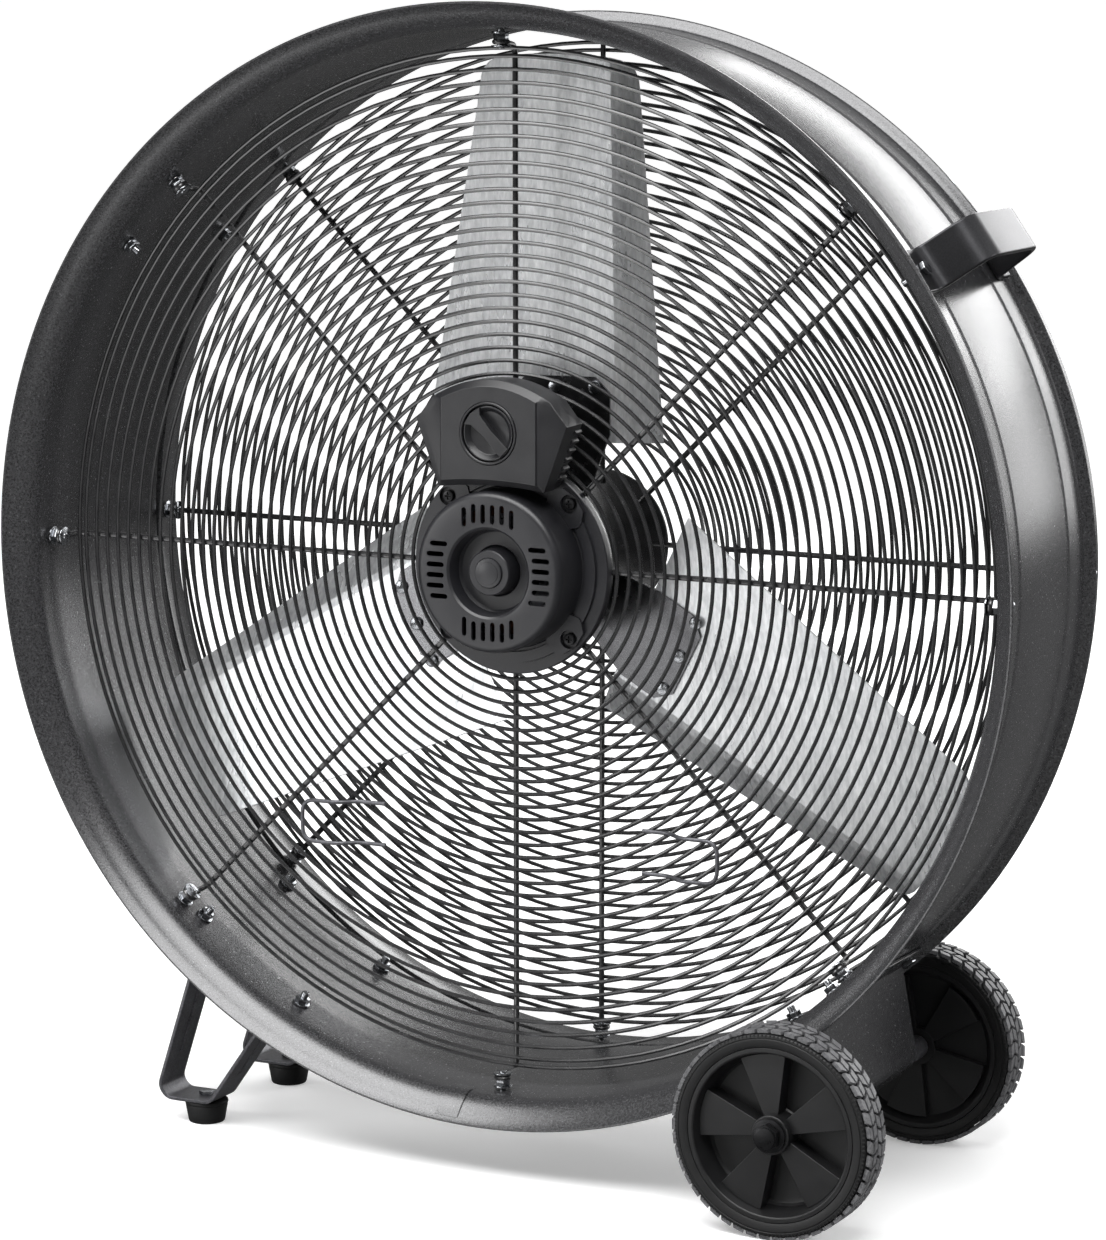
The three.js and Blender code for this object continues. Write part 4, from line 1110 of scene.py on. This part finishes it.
# The camera can't see the lamps. Each lies where the flare, the outer wall or the blades mirror it.
softLamp("keyLeft", (-2.9, -3.2, 0.75), (0, 0, 0.4), (1.5, 2.0), 54)
softLamp("overheadFront", (0.0, -1.3, 2.6), (0, 0, 0.2), (3.2, 1.7), 132)
softLamp("backWall", (0.5, 3.2, 1.66), (0, 0, 0.6), (3.0, 0.95), 47)
softLamp("backRight", (1.9, 3.0, 0.9), (0.3, 0, 0.5), (1.3, 1.1), 15)
softLamp("sideRight", (3.0, 0.6, 1.6), (0.2, 0, 0.6), (1.2, 1.6), 24)
softLamp("sideLeft", (-3.0, 0.3, 1.3), (0, 0, 0.4), (1.2, 1.2), 24)
softLamp("frontFill", (-0.6, -3.1, 0.55), (0, 0, 0.6), (0.8, 0.9), 4)


# The camera sees white. Glossy paint mirrors a room that is brighter above and behind than in front.
def studioWorld():
    world = bpy.data.worlds.new("studio")
    bpy.context.scene.world = world
    world.use_nodes = True
    sky = world.node_tree
    rays = addNode(sky, "ShaderNodeLightPath")
    heading = addNode(sky, "ShaderNodeTexCoord")
    bright = addNode(
        sky,
        "ShaderNodeVectorMath",
        {0: heading.outputs["Generated"], 1: (0.15, 0.45, 0.85)},
        operation="DOT_PRODUCT",
    )
    backdrop = addNode(
        sky,
        "ShaderNodeMapRange",
        {"Value": bright.outputs["Value"], "From Min": 0.2, "From Max": 0.8, "To Min": 0.04, "To Max": 0.6},
    )
    mirrored = addNode(
        sky,
        "ShaderNodeMath",
        {0: rays.outputs["Is Glossy Ray"], 1: rays.outputs["Is Transmission Ray"]},
        operation="MAXIMUM",
    )
    unseen = addNode(
        sky,
        "ShaderNodeMix",
        {0: mirrored.outputs[0], 2: 0.4, 3: backdrop.outputs["Result"]},
        data_type="FLOAT",
    )
    level = addNode(
        sky,
        "ShaderNodeMix",
        {0: rays.outputs["Is Camera Ray"], 2: unseen.outputs[0], 3: 1.0},
        data_type="FLOAT",
    )
    shader = sky.nodes["Background"]
    shader.inputs["Color"].default_value = (1, 1, 1, 1)
    sky.links.new(level.outputs[0], shader.inputs["Strength"])


# A pale floor that glows a little for the camera. Glossy rays see it painted dark grey, a painted reflection,
# and glowing in a pool in front of the drum, painted light that is no lamp, which the flare and blades
# mirror.
def floorPaint():
    material = bpy.data.materials.new("paleFloor")
    material.use_nodes = True
    tree = material.node_tree
    shader = tree.nodes["Principled BSDF"]
    shader.inputs["Roughness"].default_value = 0.9
    shader.inputs["Emission Color"].default_value = (1, 1, 1, 1)
    rays = addNode(tree, "ShaderNodeLightPath")
    place = addNode(tree, "ShaderNodeTexCoord")
    shift = addNode(tree, "ShaderNodeVectorMath", {0: place.outputs["Object"], 1: (0.5, 1.0, 0)})
    reach = addNode(tree, "ShaderNodeVectorMath", {0: shift.outputs["Vector"]}, operation="LENGTH")
    # painted light: near the drum's front the floor glows for glossy rays only, a pool that no lamp lights
    paintedGlowPool = addNode(
        tree,
        "ShaderNodeMapRange",
        {"Value": reach.outputs["Value"], "From Min": 0.35, "From Max": 0.8, "To Min": 2.2, "To Max": 0.04},
    )
    mirrored = addNode(
        tree,
        "ShaderNodeMath",
        {0: paintedGlowPool.outputs["Result"], 1: rays.outputs["Is Glossy Ray"]},
        operation="MULTIPLY",
    )
    far = addNode(
        tree,
        "ShaderNodeMapRange",
        {"Value": reach.outputs["Value"], "From Min": 1.5, "From Max": 5.0, "To Min": 0.25, "To Max": 0.66},
    )
    seen = addNode(
        tree,
        "ShaderNodeMath",
        {0: rays.outputs["Is Camera Ray"], 1: far.outputs["Result"]},
        operation="MULTIPLY",
    )
    glow = addNode(
        tree,
        "ShaderNodeMath",
        {0: seen.outputs[0], 1: mirrored.outputs[0]},
        operation="MAXIMUM",
    )
    tree.links.new(glow.outputs[0], shader.inputs["Emission Strength"])
    # painted reflection: glossy rays see the floor dark grey instead of its pale colour
    paintedReflectionTone = addNode(tree, "ShaderNodeMix", {0: rays.outputs["Is Glossy Ray"]}, data_type="RGBA")
    paintedReflectionTone.inputs[6].default_value = linearColour("#f4f4f4")
    paintedReflectionTone.inputs[7].default_value = linearColour("#3a3a3a")
    tree.links.new(paintedReflectionTone.outputs[2], shader.inputs["Base Color"])
    return material


def studioFloor():
    shape = bmesh.new()
    bmesh.ops.create_grid(shape, x_segments=1, y_segments=1, size=60)
    mesh = bpy.data.meshes.new("floor")
    shape.to_mesh(mesh)
    shape.free()
    mesh.materials.append(floorPaint())
    floor = bpy.data.objects.new("floor", mesh)
    bpy.context.scene.collection.objects.link(floor)


# The photograph's view. focalPixels is the focal length in pixels of the photograph's width.
camera = dict(
    place=(1.5188, -2.9930, 0.9675),
    pitch=9.25,
    yaw=26.82,
    focalPixels=4361.7,
    imageWidth=1106,
    sensor=36,
)


def photoCamera():
    lens = bpy.data.cameras.new("camera")
    lens.sensor_fit = "HORIZONTAL"
    lens.sensor_width = camera["sensor"]
    lens.lens = camera["sensor"] * camera["focalPixels"] / camera["imageWidth"]
    viewer = bpy.data.objects.new("camera", lens)
    viewer.location = camera["place"]
    viewer.rotation_euler = (math.radians(90 - camera["pitch"]), 0, math.radians(camera["yaw"]))
    bpy.context.scene.collection.objects.link(viewer)
    bpy.context.scene.camera = viewer


studioWorld()
studioFloor()
photoCamera()
bpy.context.scene.view_settings.view_transform = "Standard"
print("stage made")
